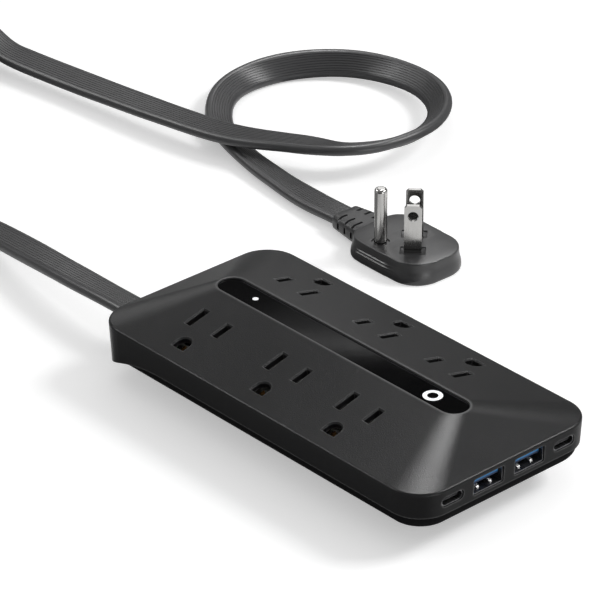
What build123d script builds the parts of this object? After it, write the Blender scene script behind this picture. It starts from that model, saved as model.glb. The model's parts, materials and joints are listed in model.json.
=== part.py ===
from build123d import *
import math
import os

# Six-outlet power strip with four USB ports, a flat cord and a flat plug.
# Frame: origin under the middle of the case on the surface it stands on, +Z up,
# +X along the case towards the USB end, -X the cord end, rows of outlets at -Y and +Y.

# ---- Case --------------------------------------------------------------------------
outlet_pitches = [39.8, 34.6]
cord_end_room = 36.6
usb_end_room = 49.0
row_offset = 19.6
row_edge_room = 20.4
roof_angle = 13.88
pin_room = 1.6
corner_radius = 12.3
wall_draft = 3.0
wall = 2.0
eave_round = 0.9
hip_run = 20.0
crest_width = 12.0
crest_end_flat = 0.1
crest_wall = 3.2
seam_height = 14.5
skirt_height = 7.0
skirt_rise_start = 3.0
skirt_rise_length = 32.0
skirt_rise_slope = 0.45
seam_gap = 0.3
fit_gap = 0.3

# ---- Bottom cover ------------------------------------------------------------------
hull_step = 1.3
hull_kink_step = 2.0
hull_kink_height = 10.8
hull_base_step = 14.5
hull_base_height = 1.2
hull_base_radius = 8.0
hull_round = 4.0
hull_wall_rise = 1.5
hull_wall_step = 0.5
floor_wall = 2.0
lip_wall = 1.6
lip_height = 3.0
foot_radius = 5.0
foot_height = 2.0
foot_end_room = 28.0
foot_side_room = 23.0

# ---- Cover screws ------------------------------------------------------------------
screw_end_room = 15.0
screw_side_room = 11.5
screw_radius = 1.45
screw_length = 11.0
screw_head_radius = 2.8
screw_head_height = 1.8
screw_gap = 0.05
screw_tip_gap = 0.5
pillar_radius = 3.3
pillar_bottom = 12.5
pillar_foot = 4.0

# ---- Outlets -----------------------------------------------------------------------
blade_spacing = 12.7
ground_offset = 11.9
slot_width = 2.4
neutral_slot_length = 8.5
line_slot_room = 0.45
ground_hole_radius = 2.7
ground_hole_flat = 2.6
slot_bevel = 0.45
blade_thickness = 1.5

# ---- Contacts (row frame: origin on the roof at the slots, +Y to the crest, +Z out) --
clip_wall = 0.5
clip_length = 6.4
clip_top = 4.2
ground_clip_depth = 14.7
ground_clip_length = 4.4
pin_radius = 2.38
bar_width = 2.6
bar_wall = 0.8
neutral_bar_y = 7.0
line_bar_y = -6.4
ground_strip_height = 3.7
bar_overhang = 5.0
carrier_overhang = 2.2
carrier_wall = 1.5
carrier_gap = 0.3
carrier_rib = 0.8
carrier_rib_top = 6.0
carrier_crest_height = 5.0
carrier_post_shift = 5.1
carrier_post_size = (6.0, 8.0)
pin_hole_gap = 0.52

# ---- Crest panel, button and indicator ----------------------------------------------
panel_margin = 0.8
panel_wall = 1.4
panel_drop = 0.6
panel_gap = 0.1
button_inset = 15.7
button_radius = 3.9
button_gap = 0.12
button_travel = 1.0
button_flange = 0.9
button_flange_wall = 1.0
stem_radius = 1.3
stem_length = 2.0
ring_outer_radius = 3.36
ring_inner_radius = 1.84
ring_depth = 0.8
indicator_inset = 17.7
indicator_radius = 1.05
indicator_flange = 0.8
indicator_flange_wall = 1.0
lens_length = 4.0
led_height = 3.4
led_radius = 1.5
indicator_board_length = 12.0

# ---- Switch under the button ----------------------------------------------------------
switch_size = 6.2
switch_height = 3.4
plunger_radius = 1.7
plunger_stand = 1.9
plunger_gap = 0.12
spring_wire = 0.4
spring_radius = 2.5
spring_turns = 3.5
board_wall = 1.6
control_board_length = 17.0
control_board_width = 14.0
boss_radius = 1.8
switch_floor = 0.8
plunger_sink = 1.4
spring_end_gap = 0.1

# ---- USB end ---------------------------------------------------------------------------
port_drop = 4.4
usb_a_y = 9.1
usb_a_width = 13.1
usb_a_height = 5.7
usb_a_depth = 14.0
usb_c_y = 24.8
usb_c_width = 9.2
usb_c_height = 3.4
usb_c_depth = 7.6
shell_wall = 0.35
port_setback = 0.5
port_gap = 0.2
usb_a_round = 0.6
usb_c_round = 1.65
usb_a_tongue_low = 0.25
usb_a_tongue_high = 2.1
usb_a_tongue_setback = 1.2
usb_a_block = 3.5
usb_c_tongue_wall = 0.7
usb_c_tongue_gap = 0.9
usb_c_tongue_setback = 1.0
usb_c_block = 2.0
usb_c_leg_spread = 2.2
usb_c_leg_size = (4.0, 1.0)
insert_gap = 0.05
usb_board_length = 31.0
usb_board_setback = 4.0
usb_port_overhang = 0.4
usb_front_post_y = 13.0
usb_rear_post_y = 16.0
usb_rear_post_inset = 6.0
post_size = 4.0
relay_size = (10.0, 16.0, 8.0)
relay_inset = 16.5
transformer_size = (12.0, 13.0, 8.0)
transformer_inset = 20.0
transformer_side_room = 21.0
capacitor_radius = 3.2
capacitor_height = 8.0
capacitor_inset = 18.0
capacitor_rows = [-13.5, -21.0]

# ---- Surge board at the cord end --------------------------------------------------------
surge_end_room = 7.0
surge_length = 13.0
surge_low_y = -5.0
surge_pillar_gap = 1.2
surge_board_height = 11.0
surge_post_inset = 7.0
surge_post_rows = [0.0, 19.0]
varistor_radius = 3.8
varistor_stand = 1.2
varistor_wall = 3.6
varistor_inset = 3.7
varistor_drops = [22.0, 16.0, 10.0]
fuse_radius = 1.6
fuse_length = 10.0
fuse_inset = 8.4
fuse_y = 6.0
filter_size = (5.0, 7.0, 9.0)
filter_inset = 4.0

# ---- Cord, gland and clamp -----------------------------------------------------------
cord_diameter = 7.0
cord_width = 11.3
cord_thickness = 4.1
cord_round = 1.7
exit_y = -16.8
exit_z = 15.5
gland_width = 15.0
gland_height = 9.0
gland_flange = 1.5
gland_flange_wall = 1.5
jacket_length = 11.0
clamp_length = 5.0
clamp_width = 21.0
clamp_height = 3.0
clamp_screw_radius = 1.2
clamp_screw_inset = 2.2
clamp_screw_depth = 5.5
clamp_head_radius = 2.2
clamp_head_height = 1.2
clamp_leg_wall = 1.0
clamp_setback = 1.5
lead_radius = 1.1
lead_bend = 1.5
lead_reach = 2.8
lead_spread = 3.4
lead_crossing_rise = 3.9
lead_rise = 2.9
lead_pad_inset = 2.0
line_pad_inset = 8.6
neutral_pad_inset = 6.1
feed_inset = 11.7
line_feed_inset = 5.0
neutral_feed_inset = 9.6
link_reach = 2.7

# ---- Plug --------------------------------------------------------------------------------
plug_x = -69.3
plug_y = 96.3
plug_yaw = -1.0
plug_length = 37.5
plug_width = 27.5
plug_height = 8.5
plug_flare = 1.8
plug_flare_height = 2.4
plug_base_round = 0.9
plug_waist_height = 4.6
plug_top_round = 0.8
plug_nose_radius = 9.0
plug_cord_height = 4.2
prong_turn = 45.0
prong_x = 2.9
prong_y = 0.2
blade_width = 6.35
blade_length = 18.3
blade_hole_radius = 1.95
blade_hole_drop = 4.2
blade_tip_chamfer = 1.0
pin_length = 21.6
pin_tip_round = 1.2
prong_root = 4.0
pin_root_radius = 2.0
pin_root_stand = 0.05
recess_depth = 1.0
recess_length = 9.4
recess_width = 6.0
recess_ring = 3.35
relief_length = 16.5
relief_root_width = 17.0
relief_root_height = 7.4
relief_tip_width = 12.8
relief_tip_height = 6.4
relief_slot = 1.0
relief_slots = 3
relief_slot_length = 9.0
relief_round = 2.6

# ---- Cord routes, hand laid; both end at the coil ------------------------------------------
lead_route = [
    (-96, -16.8, 15.5), (-124, -15.4, 14.4), (-152, -12, 11.2), (-180, -8.4, 7.4), (-208, -8.8, 5),
    (-238, -15.5, 4.1), (-268, -26, 4.1), (-296, -33, 4.3), (-321, -35.4, 4.8),
]
plug_route = [
    (-124, 97.25, 4.2), (-147, 99.8, 3.7), (-172, 104.6, 3.6), (-198, 114, 3.8), (-215, 134.5, 4.6),
    (-213.5, 163, 5.2), (-194, 185, 5.8), (-165, 192, 6.6), (-138.5, 180, 8.4), (-124.5, 154.5, 10.6),
    (-130.5, 127, 11.8), (-150, 111, 12.2), (-174, 102.5, 12.2), (-198, 98, 11.2), (-224, 95.6, 10),
    (-252, 93.6, 9.4), (-281, 90.4, 9.6), (-308, 86.8, 10.4), (-328, 83.8, 10.8),
]
coil_x = -338.0
coil_y = 24.0
coil_radius = 61.0
coil_width = 13.5
coil_height = 14.4
coil_lift = 0.8
coil_round = 3.0
tie_width = 8.0
tie_wall = 0.7
tie_angle = 20.0

# ---- How far a cut runs past the face that it opens ------------------------------------------
cut_margin = 1.0

# ---- Worked out from the sizes above -------------------------------------------------------
draft_slope = math.tan(math.radians(wall_draft))
roof_slope = math.tan(math.radians(roof_angle))
roof_cosine = math.cos(math.radians(roof_angle))
roof_drop = wall / roof_cosine
case_length = cord_end_room + sum(outlet_pitches) + usb_end_room
case_width = 2 * (row_offset + row_edge_room)
crest_length = case_length - 2 * hip_run
crest_radius = (crest_width - crest_end_flat) / 2
inner_floor = hull_base_height + floor_wall
row_height = inner_floor + pin_room + (ground_offset * roof_slope + pin_length) * roof_cosine
edge_height = row_height - row_edge_room * roof_slope
case_height = row_height + (row_offset - crest_width / 2) * roof_slope
outlet_positions = [-case_length / 2 + cord_end_room]
for pitch in outlet_pitches:
    outlet_positions.append(outlet_positions[-1] + pitch)
line_slot_length = blade_width + line_slot_room
clip_depth = blade_length + fit_gap
pin_hole_radius = pin_radius + pin_hole_gap
foot_x = case_length / 2 - foot_end_room
foot_y = case_width / 2 - foot_side_room
screw_x = case_length / 2 - screw_end_room
screw_y = case_width / 2 - screw_side_room
lip_top = seam_height + lip_height
panel_length = crest_length - 2 * panel_margin
panel_width = crest_width - 2 * panel_margin
panel_top = case_height - panel_drop
pocket_floor = case_height - crest_wall
button_x = crest_length / 2 - button_inset
indicator_x = -crest_length / 2 + indicator_inset
flange_top = pocket_floor - fit_gap
flange_bottom = flange_top - button_flange_wall
plunger_top = flange_bottom - stem_length
switch_top = plunger_top - plunger_stand
control_board_height = switch_top - switch_height
port_height = edge_height - port_drop
usb_board_top = port_height - usb_a_height / 2
usb_board_end = case_length / 2 - usb_board_setback
usb_board_width = 2 * (usb_c_y - usb_port_overhang) + usb_c_width
transformer_y = case_width / 2 - transformer_side_room
surge_low_x = -case_length / 2 + surge_end_room
surge_high_y = screw_y - pillar_radius - surge_pillar_gap
filter_y = surge_high_y - filter_size[1] / 2 - fit_gap
port_face = case_length / 2 - (edge_height - port_height) * draft_slope - port_setback
cord_face = -case_length / 2 + (edge_height - exit_z) * draft_slope
boss_y = control_board_width / 2 - boss_radius
screw_seat = pillar_bottom - pillar_foot
flange_x = cord_face + wall + fit_gap
jacket_start = flange_x + gland_flange_wall
jacket_end = jacket_start + jacket_length
clamp_x = jacket_start + clamp_setback + clamp_length / 2
clamp_seat = exit_z - cord_thickness / 2
clamp_base = exit_z + cord_thickness / 2
lens_flange_top = pocket_floor - fit_gap / 2
lens_bottom = pocket_floor - lens_length
indicator_board_top = lens_bottom - led_height - fit_gap
surge_top = surge_board_height + board_wall
lead_crossing = exit_z + lead_crossing_rise
lead_height = surge_top + lead_rise
lead_pad_y = surge_low_y + lead_pad_inset
feed_x = surge_low_x + feed_inset
ground_strip_y = -ground_offset - ground_clip_length / 2 - bar_wall / 2
carrier_top = -clip_depth - bar_wall - carrier_gap
carrier_bottom = carrier_top - carrier_wall
shelf_top = -ground_clip_depth - carrier_gap
shelf_bottom = shelf_top - carrier_wall
rib_y = (line_bar_y - bar_width / 2 - ground_offset + pin_hole_radius) / 2
crest_wall_y = neutral_bar_y + bar_width / 2 + carrier_gap
shelf_back = ground_strip_y - bar_wall / 2 - carrier_gap


def ring_outline(inset, z, radius=None):
    """Rounded rectangle that follows the case outline, set in by inset."""
    corner = corner_radius - inset if radius is None else radius
    sheet = RectangleRounded(case_length - 2 * inset, case_width - 2 * inset, corner)
    return Pos(0, 0, z) * sheet


def box_between(low, high):
    size = [high[i] - low[i] for i in range(3)]
    middle = [(high[i] + low[i]) / 2 for i in range(3)]
    return Pos(*middle) * Box(*size)


def post(x, y, bottom, top, radius):
    return Pos(x, y, (bottom + top) / 2) * Cylinder(radius, top - bottom)


def union(shapes):
    """One shape from a list of overlapping or touching solids."""
    result = shapes[0]
    for shape in shapes[1:]:
        result = result + shape
    return result


def corners(x, y):
    return [(sx * x, sy * y) for sx in (-1, 1) for sy in (-1, 1)]


# ---- Row frames --------------------------------------------------------------------------
near_row = Pos(0, -row_offset, row_height) * Rot(roof_angle, 0, 0)
far_row = Rot(0, 0, 180) * near_row
row_frames = {
    "near": (near_row, outlet_positions),
    "far": (far_row, [-x for x in outlet_positions]),
}
neutral_shift = -blade_spacing / 2
line_shift = blade_spacing / 2


# ---- Top cover -----------------------------------------------------------------------------
def cover_block(inset, roof_shift, bottom):
    """The closed outer shape of the top cover, set in by inset, down to bottom."""
    eave_z = edge_height + inset * roof_slope - roof_shift
    crest_z = case_height - (crest_wall if inset else 0)
    crest = Pos(0, 0, crest_z) * RectangleRounded(crest_length, crest_width, crest_radius)
    eave = ring_outline(inset, eave_z)
    foot = ring_outline(inset + (eave_z - bottom) * draft_slope, bottom)
    return loft([crest, eave], ruled=True) + loft([eave, foot], ruled=True)


def skirt_profile(drop):
    """Side view of everything below the seam: low at the cord end, then an S up to its height."""
    start = -case_length / 2 + skirt_rise_start
    end = start + skirt_rise_length
    left = -case_length / 2 - wall
    right = case_length / 2 + wall
    low = skirt_height - drop
    high = seam_height - drop
    rise = Spline((start, low), (end, high), tangents=((1.0, skirt_rise_slope), (1.0, 0.0)))
    outline = [
        Polyline((end, high), (right, high), (right, -wall), (left, -wall), (left, low), (start, low)),
        rise,
    ]
    return Plane.XZ * make_face(outline)


def below_seam(drop):
    return extrude(skirt_profile(drop), amount=case_width, both=True)


def stadium(length, width, z, thick):
    return Pos(0, 0, z) * extrude(SlotOverall(length, width), thick)


def ground_hole_sketch():
    flat = Pos(0, -ground_hole_flat / 2) * Rectangle(2 * ground_hole_radius, ground_hole_flat)
    return Circle(ground_hole_radius) + flat


def outlet_cutters(position):
    """Slots and ground hole of one outlet in the row frame, with their bevels."""
    depth = 4 * wall
    places = [
        (position + neutral_shift, 0, Rectangle(slot_width, neutral_slot_length)),
        (position + line_shift, 0, Rectangle(slot_width, line_slot_length)),
        (position, -ground_offset, ground_hole_sketch()),
    ]
    cutters = []
    for x, y, sketch in places:
        cutters.append(Pos(x, y, -depth) * extrude(sketch, depth + cut_margin))
        mouth = offset(sketch, slot_bevel, kind=Kind.INTERSECTION)
        low = Pos(x, y, -slot_bevel) * sketch
        high = Pos(x, y, 0) * mouth
        cutters.append(loft([low, high], ruled=True))
    return cutters


def port_cutters():
    """Openings for the four USB ports through the end wall."""
    cutters = []
    for y, wide, high, corner in usb_ports():
        sketch = RectangleRounded(wide + 2 * port_gap, high + 2 * port_gap, corner + port_gap)
        place = Plane((case_length / 2 - 3 * wall, y, port_height), x_dir=(0, 1, 0), z_dir=(1, 0, 0))
        cutters.append(extrude(place * sketch, 5 * wall))
    return cutters


def usb_ports():
    ports = []
    for side in (-1, 1):
        ports.append((side * usb_a_y, usb_a_width, usb_a_height, usb_a_round))
        ports.append((side * usb_c_y, usb_c_width, usb_c_height, usb_c_round))
    return ports


def gland_section(grow, x, length):
    place = Plane((x, exit_y, exit_z), x_dir=(0, 1, 0), z_dir=(1, 0, 0))
    sketch = RectangleRounded(gland_width + 2 * grow, gland_height + 2 * grow, gland_height / 2 - 1 + grow)
    return extrude(place * sketch, length)


def board_hangers():
    """Bosses under the crest that carry the control board and the indicator's board."""
    hangers = []
    for x, y in corners(control_board_length / 2 - boss_radius, boss_y):
        hangers.append(post(button_x + x, y, control_board_height, pocket_floor + fit_gap, boss_radius))
    for x, y in corners(indicator_board_length / 2 - boss_radius, boss_y):
        hangers.append(post(indicator_x + x, y, indicator_board_top, pocket_floor + fit_gap, boss_radius))
    return hangers


def top_cover():
    shell = cover_block(0, 0, skirt_height - cut_margin)
    eave_edges = shell.edges().filter_by(lambda e: abs(e.center().Z - edge_height) < 0.01)
    shell = fillet(eave_edges, eave_round)
    shell = shell - cover_block(wall, roof_drop, -cut_margin)
    shell = shell - below_seam(0)
    pocket = stadium(panel_length + 2 * panel_gap, panel_width + 2 * panel_gap, panel_top - panel_wall, panel_wall + cut_margin)
    rim_low = Pos(0, 0, panel_top) * SlotOverall(panel_length + 2 * panel_gap, panel_width + 2 * panel_gap)
    rim_wide = 2 * panel_drop + 2 * panel_gap
    rim_high = Pos(0, 0, case_height) * SlotOverall(panel_length + rim_wide, panel_width + rim_wide)
    shell = shell - pocket - loft([rim_low, rim_high], ruled=True)
    shell = shell - post(button_x, 0, pocket_floor - cut_margin, case_height, button_radius + button_gap)
    shell = shell - post(indicator_x, 0, pocket_floor - cut_margin, case_height, indicator_radius + button_gap)
    for x, y in corners(screw_x, screw_y):
        pillar = post(x, y, pillar_bottom, case_height, pillar_radius)
        bore_top = screw_seat + screw_length + screw_tip_gap
        bore = post(x, y, pillar_bottom - cut_margin, bore_top, screw_radius + screw_gap)
        pillar = pillar & cover_block(wall / 2, roof_drop / 2, pillar_bottom - cut_margin)
        shell = shell + pillar - bore
    for hanger in board_hangers():
        shell = shell + hanger
    for frame, positions in row_frames.values():
        for position in positions:
            for cutter in outlet_cutters(position):
                shell = shell - frame * cutter
    for cutter in port_cutters():
        shell = shell - cutter
    shell = shell - gland_section(port_gap, -case_length / 2 - wall, 3 * wall)
    return shell



# ---- Bottom cover ----------------------------------------------------------------------------
def hull_block():
    """Closed outer shape of the bottom cover, up to the top of its lip."""
    top = ring_outline(hull_step, lip_top)
    seam = ring_outline(hull_step, seam_height)
    kink = ring_outline(hull_kink_step, hull_kink_height)
    base = ring_outline(hull_base_step, hull_base_height, hull_base_radius)
    block = loft([top, seam], ruled=True) + loft([seam, kink], ruled=True) + loft([kink, base], ruled=True)
    edges = block.edges().filter_by(lambda e: abs(e.center().Z - hull_kink_height) < 0.01)
    return fillet(edges, hull_round)


def hull_hollow():
    inset = wall + fit_gap + lip_wall + (edge_height - hull_kink_height) * draft_slope
    top = ring_outline(inset, lip_top + cut_margin)
    kink = ring_outline(inset, hull_kink_height + hull_wall_rise)
    base = ring_outline(hull_base_step + hull_wall_step, inner_floor, hull_base_radius - hull_wall_step)
    return loft([top, kink], ruled=True) + loft([kink, base], ruled=True)


def bottom_cover():
    hull = hull_block()
    inner_inset = wall + fit_gap + (edge_height - skirt_height) * draft_slope
    core = loft([ring_outline(inner_inset, 0), ring_outline(inner_inset, lip_top)], ruled=True)
    shell = (hull & below_seam(seam_gap)) + (hull & core)
    hollow = hull_hollow()
    shell = shell - hollow
    for block in [saddle_block()] + carrier_posts() + board_posts():
        shell = shell + (block & hull)
    for frame, positions in row_frames.values():
        shell = shell - frame * carrier_clearance(positions, fit_gap)
    for x, y in corners(screw_x, screw_y):
        sleeve = post(x, y, 0, pillar_bottom, pillar_radius) & hull
        shell = shell + sleeve
        shell = shell - post(x, y, 0, pillar_bottom + cut_margin, screw_radius + 2 * screw_gap)
        shell = shell - post(x, y, 0, screw_seat, screw_head_radius + fit_gap)
    for x, y in corners(foot_x, foot_y):
        shell = shell - post(x, y, 0, foot_height, foot_radius + screw_gap)
    for y in clamp_screw_places():
        bore_bottom = clamp_seat - clamp_screw_depth - screw_tip_gap
        shell = shell - post(clamp_x, y, bore_bottom, clamp_seat + cut_margin, clamp_screw_radius + screw_gap)
    shell = shell - gland_section(fit_gap, -case_length / 2 - wall, flange_x + case_length / 2 + wall + fit_gap)
    flange_space = gland_flange_wall + 2 * fit_gap + lip_wall
    shell = shell - gland_section(gland_flange + fit_gap, flange_x - fit_gap, flange_space)
    return shell - port_notch()


def port_notch():
    """Gap in the lip where the USB board and its ports reach the end wall."""
    half = usb_board_width / 2 + fit_gap
    bottom = usb_board_top - board_wall - fit_gap
    low = (usb_board_end - 2 * wall, -half, bottom)
    return box_between(low, (case_length / 2, half, port_height + usb_a_height / 2))


def clamp_screw_places():
    shift = clamp_width / 2 - clamp_screw_inset
    return [exit_y - shift, exit_y + shift]


def saddle_block():
    """Block under the cord's inner end, with the clamp screwed down on it."""
    half = clamp_length / 2
    low = (clamp_x - half, exit_y - clamp_width / 2, hull_base_height)
    return box_between(low, (clamp_x + half, exit_y + clamp_width / 2, clamp_seat))


def carrier_posts():
    """Posts under the contact carriers, between the outlets, with tops cut to the carriers' tilt."""
    wide, deep = carrier_post_size
    posts = []
    for before, after in zip(outlet_positions, outlet_positions[1:]):
        x = (before + after) / 2
        for side, (frame, positions) in zip((-1, 1), row_frames.values()):
            y = side * (row_offset - carrier_post_shift)
            low = (x - wide / 2, y - deep / 2, hull_base_height)
            block = box_between(low, (x + wide / 2, y + deep / 2, seam_height))
            posts.append(block - frame * carrier_clearance(positions, carrier_post_size[1]))
    return posts


def board_posts():
    """Posts under the USB board and the surge board."""
    posts = []
    board_bottom = usb_board_top - board_wall
    front_x = ground_link_lane() + lead_radius + 2 * fit_gap + post_size / 2
    for side in (-1, 1):
        posts.append(square_post(front_x, side * usb_front_post_y, board_bottom))
        posts.append(square_post(usb_board_end - usb_rear_post_inset, side * usb_rear_post_y, board_bottom))
    for y in surge_post_rows:
        posts.append(square_post(surge_low_x + surge_post_inset, y, surge_board_height))
    return posts


def square_post(x, y, top):
    half = post_size / 2
    return box_between((x - half, y - half, hull_base_height), (x + half, y + half, top))


# ---- Contacts and carriers, in the row frame --------------------------------------------------
def bar_span(positions):
    low = min(positions) - blade_spacing / 2 - bar_overhang
    high = max(positions) + blade_spacing / 2 + bar_overhang
    return low, high


def blade_clip(x):
    """Two spring leaves that grip a blade, on a base below the blade's tip."""
    reach = blade_thickness / 2 + clip_wall
    half = clip_length / 2
    base = box_between((x - reach, -half, -clip_depth - bar_wall), (x + reach, half, -clip_depth))
    leaves = [base]
    for side in (-1, 1):
        inner = x + side * blade_thickness / 2
        outer = x + side * reach
        low = (min(inner, outer), -half, -clip_depth)
        leaves.append(box_between(low, (max(inner, outer), half, -clip_top)))
    return leaves


def blade_bar(positions, shift, bar_y):
    """Bus bar beside a line of blade clips, joined to each by a finger."""
    low, high = bar_span(positions)
    bottom = -clip_depth - bar_wall
    half = bar_width / 2
    pieces = [box_between((low, bar_y - half, bottom), (high, bar_y + half, -clip_depth))]
    for position in positions:
        x = position + shift
        pieces += blade_clip(x)
        finger_low = (x - half / 2, min(0, bar_y), bottom)
        finger_high = (x + half / 2, max(0, bar_y), -clip_depth)
        pieces.append(box_between(finger_low, finger_high))
    return union(pieces)


def ground_bar(positions):
    """Upright strip behind the ground holes, with two leaves at each that grip the round pin."""
    low, high = bar_span(positions)
    back = ground_strip_y - bar_wall / 2
    front = ground_strip_y + bar_wall / 2
    strip_top = -ground_clip_depth + ground_strip_height
    pieces = [box_between((low, back, -ground_clip_depth), (high, front, strip_top))]
    for position in positions:
        for side in (-1, 1):
            inner = position + side * pin_radius
            outer = inner + side * clip_wall
            near = (min(inner, outer), ground_strip_y, -ground_clip_depth)
            far = (max(inner, outer), -ground_offset + ground_clip_length / 2, -clip_top)
            pieces.append(box_between(near, far))
    return union(pieces)


def carrier_span(positions):
    low = min(positions) - blade_spacing / 2 - carrier_overhang
    high = max(positions) + blade_spacing / 2 + carrier_overhang
    return low, high


def contact_carrier(positions):
    """Moulded tray under a row's bars, stepped up under the ground strip."""
    low, high = carrier_span(positions)
    rib_low = rib_y - carrier_rib / 2
    rib_high = rib_y + carrier_rib / 2
    crest_low = crest_wall_y
    tray = [
        box_between((low, rib_low, carrier_bottom), (high, crest_low + carrier_rib, carrier_top)),
        box_between((low, crest_low, carrier_top), (high, crest_low + carrier_rib, carrier_top + carrier_crest_height)),
        box_between((low, rib_low, carrier_bottom), (high, rib_high, -carrier_rib_top)),
        box_between((low, shelf_back, shelf_bottom), (high, rib_high, shelf_top)),
    ]
    body = union(tray)
    for position in positions:
        body = body - Pos(position, -ground_offset, shelf_bottom) * Cylinder(pin_hole_radius, 4 * carrier_wall)
    return body


def carrier_clearance(positions, reach):
    """Space that the bottom cover leaves for a carrier, out to a reach around it."""
    low, high = carrier_span(positions)
    near = (low - reach, rib_y - reach, carrier_bottom - fit_gap / 2)
    return box_between(near, (high + reach, crest_wall_y + reach, 0))


def row_point(frame, x, y, z):
    """Case coordinates of a point given in a row's own frame."""
    place = (frame * Pos(x, y, z)).position
    return (place.X, place.Y, place.Z)


# ---- Crest panel, button, indicator -------------------------------------------------------------
def crest_panel():
    sheet = stadium(panel_length, panel_width, panel_top - panel_wall, panel_wall)
    sheet = sheet - post(button_x, 0, 0, case_height, button_radius + button_gap)
    return sheet - post(indicator_x, 0, 0, case_height, indicator_radius + button_gap)


def power_button():
    cap = post(button_x, 0, flange_bottom, panel_top, button_radius)
    cap = cap + post(button_x, 0, flange_bottom, flange_top, button_radius + button_flange)
    cap = cap + post(button_x, 0, plunger_top, flange_bottom, stem_radius)
    return cap - ring_space()


def ring_space():
    outer = post(button_x, 0, panel_top - ring_depth, panel_top, ring_outer_radius)
    return outer - post(button_x, 0, panel_top - ring_depth, panel_top, ring_inner_radius)


def button_spring():
    """Coil spring between the switch body and the button's flange."""
    height = flange_bottom - switch_top - spring_wire - 2 * spring_end_gap
    path = Helix(pitch=height / spring_turns, height=height, radius=spring_radius)
    profile = Plane(origin=path @ 0, z_dir=path % 0) * Circle(spring_wire / 2)
    return Pos(button_x, 0, switch_top + spring_wire / 2 + spring_end_gap) * sweep(profile, path, is_frenet=True)


def tact_switch():
    """Switch body, hollow above its base so that the plunger can sink."""
    body = box_between(
        (button_x - switch_size / 2, -switch_size / 2, control_board_height),
        (button_x + switch_size / 2, switch_size / 2, switch_top),
    )
    return body - post(button_x, 0, control_board_height + switch_floor, switch_top + cut_margin, plunger_radius + plunger_gap)


def tact_plunger():
    return post(button_x, 0, switch_top - plunger_sink, plunger_top, plunger_radius)


def control_board():
    half = control_board_length / 2
    low = (button_x - half, -control_board_width / 2, control_board_height - board_wall)
    return box_between(low, (button_x + half, control_board_width / 2, control_board_height))


def indicator_lens():
    lens = post(indicator_x, 0, lens_bottom, panel_top, indicator_radius)
    flange_low = lens_flange_top - indicator_flange_wall
    flange = post(indicator_x, 0, flange_low, lens_flange_top, indicator_radius + indicator_flange)
    return lens + flange


def indicator_led():
    return post(indicator_x, 0, indicator_board_top, indicator_board_top + led_height, led_radius)


def indicator_board():
    half = indicator_board_length / 2
    low = (indicator_x - half, -control_board_width / 2, indicator_board_top - board_wall)
    return box_between(low, (indicator_x + half, control_board_width / 2, indicator_board_top))


# ---- USB end ----------------------------------------------------------------------------------------
def port_block(y, wide, high, corner, depth, grow, shift=0.0):
    """A port's rounded block, its mouth at the port face and its axis along X."""
    place = Plane((port_face - depth + shift, y, port_height), x_dir=(0, 1, 0), z_dir=(1, 0, 0))
    return extrude(place * RectangleRounded(wide + 2 * grow, high + 2 * grow, corner + grow), depth)


def usb_a_shell(y):
    size = (usb_a_width, usb_a_height, usb_a_round, usb_a_depth)
    return port_block(y, *size, 0) - port_block(y, *size, -shell_wall, shell_wall)


def usb_a_insert(y):
    """Insulator block at the back of the shell, with the tongue above the middle."""
    back = port_face - usb_a_depth + shell_wall
    half = usb_a_width / 2 - shell_wall - usb_a_round
    tall = usb_a_height / 2 - shell_wall - insert_gap
    block_end = back + usb_a_block
    block = box_between((back, y - half, port_height - tall), (block_end, y + half, port_height + tall))
    tongue_low = (back, y - half, port_height + usb_a_tongue_low)
    tongue_high = (port_face - usb_a_tongue_setback, y + half, port_height + usb_a_tongue_high)
    return block + box_between(tongue_low, tongue_high)


def usb_c_shell(y):
    size = (usb_c_width, usb_c_height, usb_c_round, usb_c_depth)
    shell = port_block(y, *size, 0) - port_block(y, *size, -shell_wall, shell_wall)
    back = port_face - usb_c_depth
    leg_long, leg_wide = usb_c_leg_size
    leg_top = port_height - usb_c_height / 2 + shell_wall / 2
    for side in (-1, 1):
        middle = y + side * usb_c_leg_spread
        low = (back, middle - leg_wide / 2, usb_board_top)
        shell = shell + box_between(low, (back + leg_long, middle + leg_wide / 2, leg_top))
    return shell


def usb_c_insert(y):
    back = port_face - usb_c_depth + shell_wall
    half = usb_c_width / 2 - shell_wall - usb_c_round
    wing = usb_c_width / 2 - shell_wall - usb_c_tongue_gap
    tall = usb_c_height / 2 - shell_wall - insert_gap
    thin = usb_c_tongue_wall / 2
    block = box_between((back, y - half, port_height - tall), (back + usb_c_block, y + half, port_height + tall))
    tongue_high = (port_face - usb_c_tongue_setback, y + wing, port_height + thin)
    return block + box_between((back, y - wing, port_height - thin), tongue_high)


def usb_board():
    low = (usb_board_end - usb_board_length, -usb_board_width / 2, usb_board_top - board_wall)
    board = box_between(low, (usb_board_end, usb_board_width / 2, usb_board_top))
    for x, y in corners(screw_x, screw_y):
        board = board - post(x, y, 0, case_height, pillar_radius + fit_gap)
    return board


def block_on(x, y, bottom, size):
    wide, deep, tall = size
    return box_between((x - wide / 2, y - deep / 2, bottom), (x + wide / 2, y + deep / 2, bottom + tall))


# ---- Surge board ---------------------------------------------------------------------------------------
def surge_board():
    low = (surge_low_x, surge_low_y, surge_board_height)
    return box_between(low, (surge_low_x + surge_length, surge_high_y, surge_top))


def varistors():
    discs = []
    x = surge_low_x + varistor_inset
    middle = surge_top + varistor_radius + varistor_stand
    for drop in varistor_drops:
        y = surge_high_y - drop
        disc = Pos(x, y, middle) * Rot(90, 0, 0) * Cylinder(varistor_radius, varistor_wall)
        foot = block_on(x, y, surge_top, (varistor_radius, varistor_wall, middle - surge_top))
        discs.append(disc + foot)
    return discs


def usb_capacitors():
    x = usb_board_end - capacitor_inset
    top = usb_board_top + capacitor_height
    return [post(x, y, usb_board_top, top, capacitor_radius) for y in capacitor_rows]


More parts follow.
